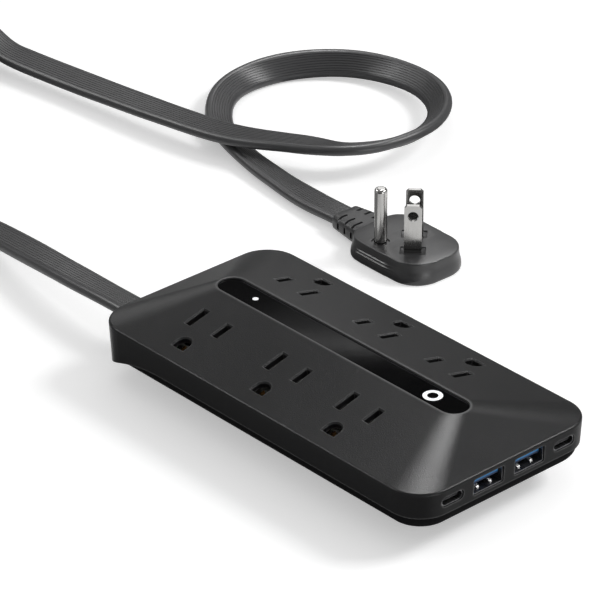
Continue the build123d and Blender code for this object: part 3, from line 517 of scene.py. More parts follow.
def moulded_plastic(
    name, colour, roughness, grain_size=0.35, grain_depth=0.25, patch_size=25.0, swing=0.06, wear_and_highlight=0.0,
    gloss=0.35, evenness=0.0, edge_reach=0.5, edge_highlight_tone=0.03,
):
    """Injection-moulded plastic: grain, patches of shine, and edges painted lighter, partly as rubbing and
    partly as a painted highlight along them.
    """
    material, tree, shader = start_material(name)
    set_inputs(shader, Specular_IOR_Level=gloss)
    texture = {"grain_size": grain_size, "grain_depth": grain_depth, "patch_size": patch_size}
    grain = add_effect(tree, moulded_grain, **texture)
    base = blend_colours(tree, grain.outputs["Grain"], shade(colour, 0.82), shade(colour, 1.18))
    base = blend_colours(tree, grain.outputs["Patch"], base, shade(colour, 1.06))
    # Painted highlight and wear: the edge mask lightens the edges.
    if wear_and_highlight:
        worn_and_lit = add_effect(tree, edge_wear_and_highlight, reach=edge_reach, break_size=1.5, evenness=evenness)
        rubbed_and_lit = math_node(tree, "MULTIPLY", worn_and_lit.outputs["Wear And Highlight"], wear_and_highlight)
        lighter = tuple(part * 1.6 + edge_highlight_tone for part in colour)
        base = blend_colours(tree, rubbed_and_lit, base, lighter)
    rough = blend_values(tree, grain.outputs["Patch"], roughness - swing, roughness + swing)
    dress(tree, shader, base, rough, grain.outputs["Normal"])
    return material


def drawn_metal(name, colour, roughness, stretch, pitch, line_depth, dull=0.8):
    """Metal with fine drawn lines, dulled in patches; its stretch is small along the lines."""
    material, tree, shader = start_material(name)
    set_inputs(shader, Metallic=1.0)
    lines = add_effect(tree, drawn_lines, stretch=stretch, pitch=pitch, line_depth=line_depth)
    grain = add_effect(tree, moulded_grain, grain_size=0.5, grain_depth=0.0, patch_size=6.0)
    base = blend_colours(tree, grain.outputs["Patch"], shade(colour, dull), colour)
    rough = blend_values(tree, lines.outputs["Lines"], roughness * 0.7, roughness * 1.4)
    dress(tree, shader, base, rough, lines.outputs["Normal"])
    return material


def gloss_black(name):
    """Polished black plastic, with hardly visible waves and a trace of dust."""
    material, tree, shader = start_material(name)
    grain = add_effect(tree, moulded_grain, grain_size=9.0, grain_depth=0.02, patch_size=14.0)
    dust = add_effect(tree, moulded_grain, grain_size=0.6, grain_depth=0.0, patch_size=5.0)
    specks = spread_node(tree, dust.outputs["Grain"], 0.86, 1.0)
    base = blend_colours(tree, specks, (0.0035, 0.0035, 0.0038), (0.012, 0.012, 0.012))
    rough = blend_values(tree, grain.outputs["Patch"], 0.03, 0.06)
    dress(tree, shader, base, rough, grain.outputs["Normal"])
    return material


def tongue_with_painted_top_light(name, low_colour, painted_lit_colour, low, high):
    """Insulator that is deep in colour on its front and painted paler above a height, which is in
    millimetres: a painted highlight for the light on its top.
    """
    material, tree, shader = start_material(name)
    height = tree.nodes.new("ShaderNodeSeparateXYZ")
    tree.links.new(coordinates(tree, "Object"), height.inputs["Vector"])
    painted_top_light = spread_node(tree, height.outputs["Z"], low * mm, high * mm)
    grain = add_effect(tree, moulded_grain, grain_size=0.25, grain_depth=0.05, patch_size=3.0)
    base = blend_colours(tree, painted_top_light, low_colour, painted_lit_colour)
    mottle = math_node(tree, "MULTIPLY", grain.outputs["Patch"], 0.3)
    base = blend_colours(tree, mottle, base, shade(low_colour, 1.3))
    rough = blend_values(tree, grain.outputs["Patch"], 0.25, 0.35)
    dress(tree, shader, base, rough, grain.outputs["Normal"])
    return material


def frosted_white(name, glow):
    """Milky light ring with a faint glow."""
    material, tree, shader = start_material(name)
    grain = add_effect(tree, moulded_grain, grain_size=0.3, grain_depth=0.05, patch_size=2.5)
    base = blend_colours(tree, grain.outputs["Patch"], (0.8, 0.82, 0.84), (0.9, 0.91, 0.92))
    tree.links.new(base, shader.inputs["Emission Color"])
    set_inputs(shader, Emission_Strength=glow)
    dress(tree, shader, base, blend_values(tree, grain.outputs["Grain"], 0.3, 0.45))
    return material


def lacquered_board(name):
    """Green circuit board: woven glass under the lacquer, and copper runs that show through."""
    material, tree, shader = start_material(name)
    place = coordinates(tree, "Object")
    weave = tree.nodes.new("ShaderNodeTexChecker")
    set_inputs(weave, Scale=1500.0, Color1=(0.012, 0.115, 0.045, 1.0), Color2=(0.016, 0.14, 0.055, 1.0))
    tree.links.new(place, weave.inputs["Vector"])
    runs = tree.nodes.new("ShaderNodeTexBrick")
    set_inputs(runs, Scale=160.0, Mortar_Size=0.06, Color1=grey(0.0), Color2=grey(0.0), Mortar=grey(1.0))
    tree.links.new(place, runs.inputs["Vector"])
    base = blend_colours(tree, runs.outputs["Color"], weave.outputs["Color"], (0.03, 0.2, 0.07))
    grain = add_effect(tree, moulded_grain, grain_size=1.2, grain_depth=0.1, patch_size=8.0)
    rough = blend_values(tree, grain.outputs["Patch"], 0.25, 0.4)
    dress(tree, shader, base, rough, grain.outputs["Normal"])
    return material


def ribbed_pvc(name):
    """Cord jacket: fine lengthwise draw marks and patches of shine."""
    material, tree, shader = start_material(name)
    stretch = tree.nodes.new("ShaderNodeMapping")
    set_inputs(stretch, Scale=(2.2, 0.04, 1.0))
    tree.links.new(coordinates(tree, "UV"), stretch.inputs["Vector"])
    marks = noise_node(tree, stretch.outputs["Vector"], 1.0, 3.0)
    grain = add_effect(tree, moulded_grain, grain_size=0.3, grain_depth=0.05, patch_size=18.0)
    colour = (0.05, 0.05, 0.052)
    base = blend_colours(tree, marks, shade(colour, 0.8), shade(colour, 1.2))
    bump = bump_node(tree, marks, 0.06, 0.1 * mm)
    tree.links.new(grain.outputs["Normal"], bump.inputs["Normal"])
    rough = blend_values(tree, grain.outputs["Patch"], 0.34, 0.42)
    dress(tree, shader, base, rough, bump.outputs["Normal"])
    return material


def taped_winding(name, colour):
    """Tape-wrapped part: overlapping bands round it."""
    material, tree, shader = start_material(name)
    bands = tree.nodes.new("ShaderNodeTexWave")
    bands.wave_type = "BANDS"
    bands.bands_direction = "Z"
    bands.wave_profile = "SAW"
    set_inputs(bands, Scale=120.0, Distortion=0.4)
    tree.links.new(coordinates(tree, "Object"), bands.inputs["Vector"])
    base = blend_colours(tree, bands.outputs["Fac"], shade(colour, 0.8), colour)
    grain = add_effect(tree, moulded_grain, grain_size=0.8, grain_depth=0.1, patch_size=6.0)
    rough = blend_values(tree, grain.outputs["Grain"], 0.3, 0.45)
    bump = bump_node(tree, bands.outputs["Fac"], 0.3, 0.2 * mm)
    dress(tree, shader, base, rough, bump.outputs["Normal"])
    return material


finishes = {
    "hull_plastic": moulded_plastic(
        "hull_grained_black", (0.008, 0.008, 0.0084), 0.6,
        grain_size=0.32, grain_depth=0.3, patch_size=40.0, swing=0.04, gloss=0.03,
    ),
    # Painted highlight: the case's edges are lightened almost evenly all round, in place of the light that
    # its edges catch.
    "case_plastic": moulded_plastic(
        "case_grained_black", (0.0085, 0.0085, 0.009), 0.3,
        grain_size=0.32, grain_depth=0.3, patch_size=40.0, swing=0.02, gloss=0.22,
        wear_and_highlight=0.9, evenness=0.8, edge_reach=0.9, edge_highlight_tone=0.11,
    ),
    "panel_gloss": gloss_black("panel_polished_black"),
    # Painted highlight: the bezel's grey is lighter than the case, in place of the light line round the
    # crest.
    "bezel_satin": moulded_plastic(
        "bezel_painted_highlight_grey", (0.055, 0.055, 0.056), 0.38,
        grain_size=0.32, grain_depth=0.2, patch_size=30.0, swing=0.03, gloss=0.3, wear_and_highlight=0.4, evenness=0.6,
    ),
    "button_plastic": gloss_black("button_polished_black"),
    "light_white": frosted_white("light_milky_white", 0.35),
    "rubber_feet": moulded_plastic(
        "feet_rubber", (0.02, 0.02, 0.02), 0.8, grain_size=0.6, grain_depth=0.5, patch_size=8.0, swing=0.08
    ),
    "cord_pvc": ribbed_pvc("cord_ribbed_pvc"),
    "gland_pvc": moulded_plastic(
        "gland_soft_pvc", (0.03, 0.03, 0.032), 0.5, grain_size=0.3, grain_depth=0.2, patch_size=9.0, wear_and_highlight=0.3
    ),
    "plug_plastic": moulded_plastic(
        "plug_moulded_pvc", (0.027, 0.027, 0.028), 0.36,
        grain_size=0.3, grain_depth=0.15, patch_size=14.0, swing=0.04, gloss=0.6, wear_and_highlight=0.5, evenness=0.6,
    ),
    "nickel": drawn_metal(
        "prong_nickel", (0.45, 0.445, 0.435), 0.16, (1.0, 1.0, 0.04), 0.2, 0.06, dull=0.92
    ),
    "bronze": drawn_metal("contact_bronze", (0.72, 0.46, 0.2), 0.28, (0.04, 1.0, 1.0), 0.3, 0.2),
    "steel": drawn_metal("screw_steel", (0.56, 0.56, 0.57), 0.3, (1.0, 1.0, 0.2), 0.3, 0.25),
    # Painted shade: the port shell's steel is much darker than the spring steel, in place of the shade
    # inside the ports.
    "port_steel": drawn_metal("port_stamped_steel", (0.33, 0.33, 0.34), 0.3, (0.05, 1.0, 1.0), 0.25, 0.12),
    "spring_steel": drawn_metal(
        "port_spring_steel", (0.62, 0.62, 0.61), 0.35, (0.05, 1.0, 1.0), 0.25, 0.12, dull=0.9
    ),
    # Painted highlight: the tongue's top edge is painted light blue for the light that falls on it.
    "port_blue": tongue_with_painted_top_light(
        "port_tongue_blue_painted_top_light", (0.004, 0.03, 0.1), (0.03, 0.27, 0.62), low=19.95, high=20.15
    ),
    "port_black": moulded_plastic(
        "port_tongue_black", (0.02, 0.02, 0.021), 0.35,
        grain_size=0.25, grain_depth=0.05, patch_size=3.0, swing=0.05,
    ),
    "board": lacquered_board("board_green"),
    "carrier": moulded_plastic(
        "carrier_cream", (0.66, 0.64, 0.58), 0.5, grain_size=0.6, grain_depth=0.1, patch_size=20.0, wear_and_highlight=0.2
    ),
    "component_black": moulded_plastic(
        "component_epoxy_black", (0.03, 0.03, 0.033), 0.45,
        grain_size=0.4, grain_depth=0.15, patch_size=5.0, wear_and_highlight=0.3,
    ),
    "component_blue": moulded_plastic(
        "component_dipped_blue", (0.02, 0.06, 0.28), 0.25,
        grain_size=0.9, grain_depth=0.1, patch_size=3.0, swing=0.05,
    ),
    "component_yellow": taped_winding("component_yellow_tape", (0.7, 0.5, 0.06)),
    "capacitor_metal": drawn_metal("capacitor_can", (0.7, 0.7, 0.72), 0.3, (1.0, 1.0, 0.1), 0.3, 0.15),
    "tie_black": moulded_plastic(
        "tie_nylon", (0.02, 0.02, 0.021), 0.4, grain_size=0.3, grain_depth=0.2, patch_size=5.0, wear_and_highlight=0.3
    ),
}
wire_colours = {
    "wire_black": (0.022, 0.022, 0.023), "wire_white": (0.76, 0.76, 0.73), "wire_green": (0.02, 0.26, 0.06)
}
for wire, wire_colour in wire_colours.items():
    finishes[wire] = moulded_plastic(
        wire, wire_colour, 0.45, grain_size=0.5, grain_depth=0.15, patch_size=12.0
    )


# ---- Pieces shaped by hand ----
def select_parts(piece, kind, test):
    """In edit mode, selects verts, edges or faces that pass a test of place and normal.

    An edge is tested by its middle and its direction.
    """
    modes = {"verts": "VERT", "edges": "EDGE", "faces": "FACE"}
    bpy.ops.mesh.select_mode(type=modes[kind])
    bpy.ops.mesh.select_all(action="DESELECT")
    mesh = bmesh.from_edit_mesh(piece.data)
    for part in getattr(mesh, kind):
        if kind == "verts":
            part.select = test(part.co, part.normal)
        elif kind == "edges":
            start, end = part.verts[0].co, part.verts[1].co
            part.select = test((start + end) / 2, (end - start).normalized())
        else:
            part.select = test(part.calc_center_median(), part.normal)
    mesh.select_flush_mode()
    bmesh.update_edit_mesh(piece.data)


def new_primitive(add, name, **settings):
    """A piece that starts as one of Blender's primitives."""
    bpy.ops.object.select_all(action="DESELECT")
    add(**settings)
    piece = bpy.context.active_object
    piece.name = name
    piece.data.name = name
    return piece


def ease_edges(width, steps):
    """In edit mode, rounds the selected edges."""
    bpy.ops.mesh.bevel(offset=width, segments=steps, affect="EDGES")


def resize_from(middle, value):
    """In edit mode, resizes what is selected from a point."""
    bpy.ops.transform.resize(value=value, center_override=middle)


def cut_with(piece, cutter):
    """Takes the cutter's volume out of the piece and removes the cutter."""
    active(piece)
    change = piece.modifiers.new("cut", "BOOLEAN")
    change.operation = "DIFFERENCE"
    change.solver = "EXACT"
    change.object = cutter
    bpy.ops.object.modifier_apply(modifier="cut")
    bpy.data.objects.remove(cutter)


def settle(piece, place, turn=0.0):
    """Puts a piece modelled at the origin in its place, and applies that to its mesh."""
    active(piece)
    piece.location = place
    piece.rotation_euler = (0.0, 0.0, turn)
    bpy.ops.object.transform_apply(location=True, rotation=True, scale=True)


cutter_ease = 0.3 * mm


def cut_box(piece, size, place, turn=0.0):
    """Cuts a box with eased edges out of a piece."""
    cutter = new_primitive(bpy.ops.mesh.primitive_cube_add, "cutter", size=1.0)
    into_edit(cutter)
    bpy.ops.transform.resize(value=size)
    ease_edges(cutter_ease, 2)
    out_of_edit()
    settle(cutter, place, turn)
    cut_with(piece, cutter)


# ---- Plug ----
plug_middle = Vector((-69.3, 96.3, 0.0)) * mm
plug_turn = math.radians(-1.0)
plug_length = 37.5 * mm
plug_width = 27.5 * mm
plug_top = 8.5 * mm
# How far the outline stands out from the top's outline, and at which height, in millimetres.
foot_step = (0.2, 0.0)
plug_steps = [
    (0.5, 0.3), (0.7, 0.8), (0.78, 1.5), (0.75, 2.3), (0.66, 3.1), (0.55, 3.6), (0.5, 3.9), (0.42, 4.2),
    (0.3, 4.7), (0.24, 5.0), (0.18, 5.3), (0.1, 5.9), (0.03, 6.6), (0.0, 7.7), (-0.06, 8.2), (-0.2, 8.42),
    (-0.42, 8.5),
]
tail_corner = 7.4 * mm
nose_corner = 10.6 * mm
nose_start = 17 * mm
side_start = 13.5 * mm
side_reach = 9 * mm
side_cuts = 9
bow_middle = -3 * mm
bow_reach = 7 * mm
bow_stand = 1.012
rib_levels = (3.9 * mm, 5.0 * mm)
rib_start = 13.2 * mm
rib_stand = 1.022
rib_reach = (-12.5 * mm, 5.5 * mm)
same_level = 0.02 * mm
prong_middle = Vector((2.9, 0.2)) * mm
prong_turn = math.radians(45.0)
blade_gap = 12.7 * mm
pin_shift = 11.9 * mm
recess_size = (9.4 * mm, 6.0 * mm)
recess_depth = 0.5 * mm
ring_radius = 3.35 * mm
ring_corners = 40


def plug_outline(step):
    """Length, width and level of the plug's outline at a step."""
    grow, rise = step
    return plug_length + 2 * grow * mm, plug_width + 2 * grow * mm, rise * mm


def draw_up(outline, step):
    """Extrudes the selected outline to the next step, and returns the outline there."""
    length, width, level = outline
    drawn = plug_outline(step)
    bpy.ops.mesh.extrude_region_move(TRANSFORM_OT_translate={"value": (0.0, 0.0, drawn[2] - level)})
    resize_from((0.0, 0.0, drawn[2]), (drawn[0] / length, drawn[1] / width, 1.0))
    return drawn


def shape_plug_body():
    """Flat body with a bulged base, drawn up from its outline."""
    body = new_primitive(bpy.ops.mesh.primitive_plane_add, "plug_shell", size=1.0)
    into_edit(body)
    outline = plug_outline(foot_step)
    bpy.ops.transform.resize(value=(outline[0], outline[1], 1.0))
    select_parts(body, "verts", lambda place, normal: place.x < 0)
    bpy.ops.mesh.bevel(offset=tail_corner, segments=9, affect="VERTICES")
    select_parts(body, "verts", lambda place, normal: place.x > nose_start)
    bpy.ops.mesh.bevel(offset=nose_corner, segments=11, affect="VERTICES")
    select_parts(body, "edges", lambda place, way: abs(place.y) > side_start and abs(place.x) < side_reach)
    bpy.ops.mesh.subdivide(number_cuts=side_cuts)
    select_parts(
        body, "verts",
        lambda place, normal: abs(place.y) > side_start and abs(place.x - bow_middle) < bow_reach,
    )
    resize_from((0.0, 0.0, 0.0), (1.0, bow_stand, 1.0))
    bpy.ops.mesh.select_all(action="SELECT")
    for step in plug_steps:
        outline = draw_up(outline, step)
    for level in rib_levels:
        select_parts(
            body, "verts",
            lambda place, normal: abs(place.z - level) < same_level
            and abs(place.y) > rib_start and rib_reach[0] < place.x < rib_reach[1],
        )
        resize_from((0.0, 0.0, level), (1.0, rib_stand, 1.0))
    face_outward()
    out_of_edit()
    return body


def turned_place(across, along):
    """Place on the plug's face of a point in the prongs' own directions."""
    x = prong_middle.x + across * math.cos(prong_turn) - along * math.sin(prong_turn)
    y = prong_middle.y + across * math.sin(prong_turn) + along * math.cos(prong_turn)
    return (x, y, plug_top)


def cut_prong_seats(body):
    """Shallow seats round the two blades and the pin."""
    for side in (-1, 1):
        place = turned_place(0.0, side * blade_gap / 2)
        cut_box(body, (*recess_size, 2 * recess_depth), place, prong_turn)
    round_seat = {"vertices": ring_corners, "radius": ring_radius, "depth": 2 * recess_depth}
    ring = new_primitive(bpy.ops.mesh.primitive_cylinder_add, "cutter", **round_seat)
    settle(ring, turned_place(-pin_shift, 0.0))
    cut_with(body, ring)


relief_length = 15.4 * mm
relief_overlap = 2 * mm
relief_root = (17.4 * mm, 7.6 * mm)
relief_end = (13.0 * mm, 6.4 * mm)
relief_middle = 4.2 * mm
relief_corner = 2.4 * mm
relief_tip_ease = 0.7 * mm
slit_count = 3
# Shares of the neck's length, from the plug to the first slit and from one slit to the next.
slit_first = 0.2
slit_step = 0.27
slit_width = 1.15 * mm
slit_depth = 1.3 * mm
slit_across = 5.2 * mm
slit_face = 3.4 * mm
edge_slit_height = 2.6 * mm
edge_slit_face = 7.9 * mm
edge_slit_taper = 0.42 * mm
spine_half = 2.3 * mm


def shape_relief():
    """Tapered neck with slits on its broad faces and its edges."""
    neck = new_primitive(bpy.ops.mesh.primitive_cube_add, "plug_neck", size=1.0)
    root = -plug_length / 2
    tip = root - relief_length
    into_edit(neck)
    bpy.ops.transform.resize(value=(relief_length + relief_overlap, *relief_root))
    bpy.ops.transform.translate(value=((root + tip + relief_overlap) / 2, 0.0, relief_middle))
    select_parts(neck, "faces", lambda place, normal: normal.x < -0.5)
    taper = (1.0, relief_end[0] / relief_root[0], relief_end[1] / relief_root[1])
    resize_from((0.0, 0.0, relief_middle), taper)
    select_parts(neck, "edges", lambda place, way: abs(way.x) > 0.8)
    ease_edges(relief_corner, 6)
    select_parts(neck, "edges", lambda place, way: place.x < tip + 0.1 * mm)
    ease_edges(relief_tip_ease, 3)
    out_of_edit()
    broad_slit = (slit_width, slit_across, 2 * slit_depth)
    edge_slit = (slit_width, 2 * slit_depth, edge_slit_height)
    for i in range(slit_count):
        x = root - relief_length * (slit_first + slit_step * i)
        edge = edge_slit_face - edge_slit_taper * (i + 1)
        for side in (-1, 1):
            for face in (-1, 1):
                y = side * (spine_half + slit_across / 2)
                cut_box(neck, broad_slit, (x, y, relief_middle + face * slit_face))
            cut_box(neck, edge_slit, (x, side * edge, relief_middle))
    return neck


def make_plug():
    body = shape_plug_body()
    cut_prong_seats(body)
    neck = shape_relief()
    for piece, node in ((body, "plug_body"), (neck, "plug_relief")):
        settle(piece, plug_middle, plug_turn)
        smooth(piece, plug_smoothing)
        piece.data.materials.append(finishes["plug_plastic"])
        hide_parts(node)
        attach(piece, "case")
    return body, neck


plug_shell, plug_neck = make_plug()

# ---- Springs in the two wide ports ----
spring_length = 2.6 * mm
spring_width = 1.5 * mm
spring_sheet = 0.25 * mm
spring_cuts = 5
# How far the crown and the slopes reach from the middle, and how high they stand.
spring_crown = 0.15 * spring_length
spring_slope = 0.4 * spring_length
spring_rise = 0.75 * mm
slope_rise = 0.6 * spring_rise
spring_tip = 0.7
spring_side = 0.6 * mm
spring_ease = 0.05 * mm
spring_middle = 76.4 * mm
spring_floor = 16.87 * mm
spring_offset = 2.8 * mm
port_rows = (-9.1 * mm, 9.1 * mm)


def make_spring(name, y):
    """Bent contact tab that stands up from the floor of a port's shell."""
    spring = new_primitive(bpy.ops.mesh.primitive_cube_add, name, size=1.0)
    into_edit(spring)
    bpy.ops.transform.resize(value=(spring_length, spring_width, spring_sheet))
    select_parts(spring, "edges", lambda place, way: abs(way.x) > 0.8)
    bpy.ops.mesh.subdivide(number_cuts=spring_cuts)
    select_parts(spring, "verts", lambda place, normal: abs(place.x) < spring_crown)
    bpy.ops.transform.translate(value=(0.0, 0.0, spring_rise))
    select_parts(spring, "verts", lambda place, normal: spring_crown < abs(place.x) < spring_slope)
    bpy.ops.transform.translate(value=(0.0, 0.0, slope_rise))
    select_parts(spring, "faces", lambda place, normal: normal.x > 0.9)
    resize_from((0.0, 0.0, 0.0), (1.0, spring_tip, 1.0))
    select_parts(
        spring, "edges",
        lambda place, way: abs(place.y) > spring_side and abs(way.y) < 0.4 and abs(way.z) < 0.7,
    )
    ease_edges(spring_ease, 2)
    out_of_edit()
    settle(spring, (spring_middle, y, spring_floor))
    smooth(spring, small_smoothing)
    spring.data.materials.append(finishes["spring_steel"])
    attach(spring, "case")


for port, row in enumerate(port_rows, 1):
    make_spring("usb_a_spring_" + str(port) + "_near", row - spring_offset)
    make_spring("usb_a_spring_" + str(port) + "_far", row + spring_offset)

# ---- Crest bezel ----
bezel_top = 32.0 * mm
bezel_depth = 0.62 * mm
bezel_width = 0.8 * mm
bezel_radius = 6.02 * mm
bezel_half = 60.02 * mm
bezel_corners = 64
bezel_ease = 0.12 * mm


def make_bezel():
    """Narrow raised frame round the crest panel, with eased edges, in a lighter grey that is a painted
    highlight for the light line round the crest.
    """
    outline = {"vertices": bezel_corners, "radius": bezel_radius, "fill_type": "NGON"}
    bezel = new_primitive(bpy.ops.mesh.primitive_circle_add, "crest_bezel", **outline)
    settle(bezel, (0.0, 0.0, 0.0), math.pi / bezel_corners)
    into_edit(bezel)
    for side in (-1, 1):
        select_parts(bezel, "verts", lambda place, normal: place.x * side > 0)
        bpy.ops.transform.translate(value=(side * (bezel_half - bezel_radius), 0.0, 0.0))
    select_parts(bezel, "faces", lambda place, normal: True)
    bpy.ops.mesh.inset(thickness=bezel_width)
    bpy.ops.mesh.delete(type="FACE")
    select_parts(bezel, "faces", lambda place, normal: True)
    bpy.ops.mesh.extrude_region_move(TRANSFORM_OT_translate={"value": (0.0, 0.0, -bezel_depth)})
    face_outward()
    bpy.ops.mesh.select_all(action="DESELECT")
    bpy.ops.mesh.edges_select_sharp(sharpness=math.radians(60))
    ease_edges(bezel_ease, 2)
    out_of_edit()
    settle(bezel, (0.0, 0.0, bezel_top))
    smooth(bezel, small_smoothing)
    bezel.data.materials.append(finishes["bezel_satin"])
    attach(bezel, "case")


make_bezel()

# ---- Button spring ----
coil_low, coil_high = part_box("button_spring")
coil_wire = 0.4 * mm
coil_rounds = 3.5
coil_steps = 84
wire_corners = 10


def make_button_spring():
    """Coil spring under the button, between the button and the switch; it moves with the button as one
    piece.
    """
    middle = (coil_low + coil_high) / 2
    height = coil_high.z - coil_low.z
    upright = {"vertices": wire_corners, "radius": coil_wire / 2, "rotation": (math.pi / 2, 0.0, 0.0)}
    spring = new_primitive(bpy.ops.mesh.primitive_circle_add, "button_coil", **upright)
    bpy.ops.object.transform_apply(location=True, rotation=True, scale=True)
    into_edit(spring)
    bpy.ops.mesh.select_all(action="SELECT")
    bpy.ops.transform.translate(value=((coil_high.x - coil_low.x - coil_wire) / 2, 0.0, 0.0))
    out_of_edit()
    winding = spring.modifiers.new("winding", "SCREW")
    winding.axis = "Z"
    winding.angle = 2 * math.pi * coil_rounds
    winding.screw_offset = height - coil_wire
    winding.steps = winding.render_steps = coil_steps
    winding.use_smooth_shade = True
    bpy.ops.object.modifier_apply(modifier="winding")
    into_edit(spring)
    bpy.ops.mesh.select_all(action="SELECT")
    bpy.ops.mesh.fill_holes(sides=0)
    face_outward()
    out_of_edit()
    settle(spring, (middle.x, middle.y, coil_low.z + coil_wire / 2))
    spring.data.materials.append(finishes["steel"])
    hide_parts("button_spring")
    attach(spring, "button")
    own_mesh(spring)


make_button_spring()

# ---- Finishes of the frame's own nodes ----
node_finish = {entry["node"]: entry["material_slot"] for entry in frame["record"]["subparts"]}
node_finish["cord_gland"] = "gland_pvc"
node_finish["bottom_cover"] = "hull_plastic"

for node, piece in frame["nodes"].items():
    piece.data.materials.clear()
    piece.data.materials.append(finishes[node_finish[node]])
cord.data.materials.append(finishes["cord_pvc"])

# ---- Floor and world ----
floor_half = 9.0
floor_white = grey(0.9)
floor_glow = 0.4
world_light = 0.5
horizon_gloss = 0.14
ceiling_gloss = 0.3


def ray_mask(tree, *kinds):
    """1 for rays of any of the kinds, else 0."""
    path = tree.nodes.new("ShaderNodeLightPath")
    mask = path.outputs[kinds[0]]
    for kind in kinds[1:]:
        mask = math_node(tree, "MAXIMUM", mask, path.outputs[kind])
    return mask


def rectangle(low, high, level):
    """Corners of a flat rectangle between two points."""
    (xa, ya), (xb, yb) = low, high
    return [(xa, ya, level), (xb, ya, level), (xb, yb, level), (xa, yb, level)]


def make_floor():
    corners = rectangle((-floor_half, -floor_half), (floor_half, floor_half), 0)
    floor = new_mesh("floor", corners, [(0, 1, 2, 3)])
    material, tree, shader = start_material("floor_white")
    set_inputs(shader, Base_Color=floor_white, Roughness=0.9, Specular_IOR_Level=0.1)
    glow = tree.nodes.new("ShaderNodeEmission")
    seen = ray_mask(tree, "Is Camera Ray", "Is Glossy Ray", "Is Transmission Ray")
    tree.links.new(math_node(tree, "MULTIPLY", seen, floor_glow), glow.inputs["Strength"])
    both = tree.nodes.new("ShaderNodeAddShader")
    tree.links.new(shader.outputs["BSDF"], both.inputs[0])
    tree.links.new(glow.outputs["Emission"], both.inputs[1])
    tree.links.new(both.outputs["Shader"], tree.nodes["Material Output"].inputs["Surface"])
    floor.data.materials.append(material)


def make_world():
    """White to the camera, an even light on what it lights, and greyer in reflections."""
    world = bpy.data.worlds.new("studio")
    world.use_nodes = True
    tree = world.node_tree
    background = tree.nodes["Background"]
    set_inputs(background, Color=grey(1.0))
    upward = tree.nodes.new("ShaderNodeSeparateXYZ")
    tree.links.new(coordinates(tree, "Generated"), upward.inputs["Vector"])
    ceiling = blend_values(tree, upward.outputs["Z"], horizon_gloss, ceiling_gloss)
    lit = tree.nodes.new("ShaderNodeMix")
    tree.links.new(ray_mask(tree, "Is Glossy Ray", "Is Transmission Ray"), lit.inputs["Factor"])
    set_inputs(lit, A=world_light)
    tree.links.new(ceiling, lit.inputs["B"])
    strength = math_node(tree, "MAXIMUM", lit.outputs["Result"], ray_mask(tree, "Is Camera Ray"))
    tree.links.new(strength, background.inputs["Strength"])
    bpy.context.scene.world = world


make_floor()
make_world()

# ---- Card that the crest panel mirrors ----
crest_level = 31.4 * mm
card_distance = 1.2
# Places on the crest, in millimetres: the card's two ends, and its bright part's slanting edge.
start_x, end_x = -85.0, 110.0
(near_x, near_y), (far_x, far_y) = (-36.0, -40.0), (49.0, 40.0)
# Each stop: place along the card and brightness.
lit_ramp = [(0.0, 0.01), (0.33, 0.03), (0.6, 0.25), (0.8, 0.55), (1.0, 0.8)]
dark_ramp = [(0.0, 0.01), (1.0, 0.01)]


def mirrored_place(x, y):
    """Point of the card that the camera sees mirrored at a point of the crest, given in millimetres."""
    camera = bpy.context.scene.camera.location
    image = Vector((camera.x, camera.y, 2 * crest_level - camera.z))
    middle = Vector((0.0, 0.0, crest_level))
    axis = (middle - image).normalized()
    ray = Vector((x * mm, y * mm, crest_level)) - image
    reach = (card_distance + (middle - image).length) / ray.dot(axis)
    return image + ray * reach


def only_mirrored(piece):
    """Hides a piece of the stage from all but reflections."""
    piece.visible_camera = False
    piece.visible_diffuse = False
    piece.visible_transmission = False


def make_card(name, corners, ramp):
    """Flat card that only reflections show, glowing along its length as the ramp says."""
    card = new_mesh(name, [mirrored_place(x, y) for x, y in corners], [(0, 1, 2, 3)])
    layer = card.data.uv_layers.new(name="UVMap")
    for corner, uv in zip(layer.data, ((0, 0), (1, 0), (1, 1), (0, 1))):
        corner.uv = uv
    material, tree, shader = start_material(name)
    tree.nodes.remove(shader)
    along = tree.nodes.new("ShaderNodeSeparateXYZ")
    tree.links.new(coordinates(tree, "UV"), along.inputs["Vector"])
    colours = tree.nodes.new("ShaderNodeValToRGB")
    tree.links.new(along.outputs["X"], colours.inputs["Fac"])
    stops = colours.color_ramp.elements
    while len(stops) < len(ramp):
        stops.new(0.5)
    for stop, (place, level) in zip(stops, ramp):
        stop.position = place
        stop.color = grey(level)
    glow = tree.nodes.new("ShaderNodeEmission")
    tree.links.new(colours.outputs["Color"], glow.inputs["Color"])
    tree.links.new(glow.outputs["Emission"], tree.nodes["Material Output"].inputs["Surface"])
    card.data.materials.append(material)
    only_mirrored(card)


make_card("card_lit", [(start_x, near_y), (near_x, near_y), (far_x, far_y), (start_x, far_y)], lit_ramp)
make_card("card_dark", [(near_x, near_y), (end_x, near_y), (end_x, far_y), (far_x, far_y)], dark_ramp)

# ---- Painted shade: darker sheets on the floor, which only reflections show ----
flag_lift = 0.4 * mm
# Each sheet: its two corners and how light it is.
painted_shade_sheets = {
    "shade_sheet_near": ((-0.25, -0.22), (0.2, -0.036), 0.35),
    "shade_sheet_end": ((0.04, -0.036), (0.18, 0.15), 0.7),
    "shade_sheet_plug": ((-0.088, 0.06), (-0.045, 0.0825), 0.25),
    "shade_sheet_back": ((-1.6, 0.16), (0.0, 1.4), 0.35),
    "shade_sheet_lead": ((-0.6, -0.01), (-0.083, 0.085), 0.35),
}


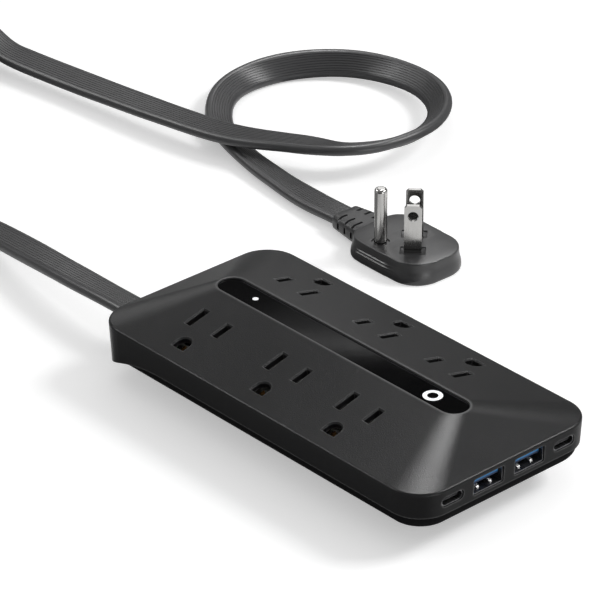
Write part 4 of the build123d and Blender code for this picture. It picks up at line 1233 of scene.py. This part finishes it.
def make_painted_shade_sheet(name, low, high, level):
    """Painted shade: a darker sheet beside a piece that only reflections show, so that the piece's walls
    reflect a darker floor and stay dark.
    """
    flag = new_mesh(name, rectangle(low, high, flag_lift), [(0, 1, 2, 3)])
    material, tree, shader = start_material(name)
    set_inputs(shader, Base_Color=grey(level), Specular_IOR_Level=0.0)
    flag.data.materials.append(material)
    only_mirrored(flag)
    flag.visible_shadow = False


for flag_name, flag_settings in painted_shade_sheets.items():
    make_painted_shade_sheet(flag_name, *flag_settings)

# ---- Lights ----
key_place = (0.75, 1.1, 1.3)
key_size = (0.6, 0.6)
key_watts = 16
studio_middle = (0.0, 0.0, 0.0)
studio_distance = 1.4
# Each light: direction as seen from its target, size, radiance, and where given, target and distance.
sheen_lights = {
    "hip_sheen": ((-0.335, 0.375, 0.865), (0.18, 0.18), 88.0),
    "end_sheen": ((-0.33, 0.62, 0.71), (0.35, 0.35), 6.0),
    "side_sheen": ((-0.82, 0.42, 0.4), (0.2, 0.2), 1.0),
    "bevel_sheen": ((0.4, 0.58, 0.7), (0.45, 0.45), 7.0),
    "rim_sheen": ((-0.65, -0.38, 0.65), (0.5, 0.5), 9.0),
    "nose_sheen": ((0.99, -0.1, 0.08), (0.5, 0.4), 8.0),
    "plug_sheen": ((-0.633, 0.613, 0.475), (0.13, 0.13), 1.5, (-0.07, 0.1, 0.008), 0.46),
    "strand_sheen": ((-0.652, 0.18, 0.735), (0.12, 0.12), 2.2, (-0.23, 0.094, 0.01), 0.3),
}


def area_light(name, place, target, size, watts):
    data = bpy.data.lights.new(name, "AREA")
    data.shape = "RECTANGLE"
    data.size, data.size_y = size
    data.energy = watts
    light = new_object(name, data)
    light.location = place
    light.rotation_euler = (Vector(target) - Vector(place)).to_track_quat("-Z", "Y").to_euler()
    light.visible_camera = False
    return light


def sheen_light(name, direction, size, radiance, target=studio_middle, distance=studio_distance):
    """Soft light that shows only as a reflection."""
    place = Vector(target) + Vector(direction).normalized() * distance
    light = area_light(name, place, target, size, radiance * math.pi * size[0] * size[1])
    light.visible_diffuse = False


area_light("key", key_place, studio_middle, key_size, key_watts)
for sheen_name, sheen_settings in sheen_lights.items():
    sheen_light(sheen_name, *sheen_settings)

bpy.context.scene.view_settings.view_transform = "Standard"
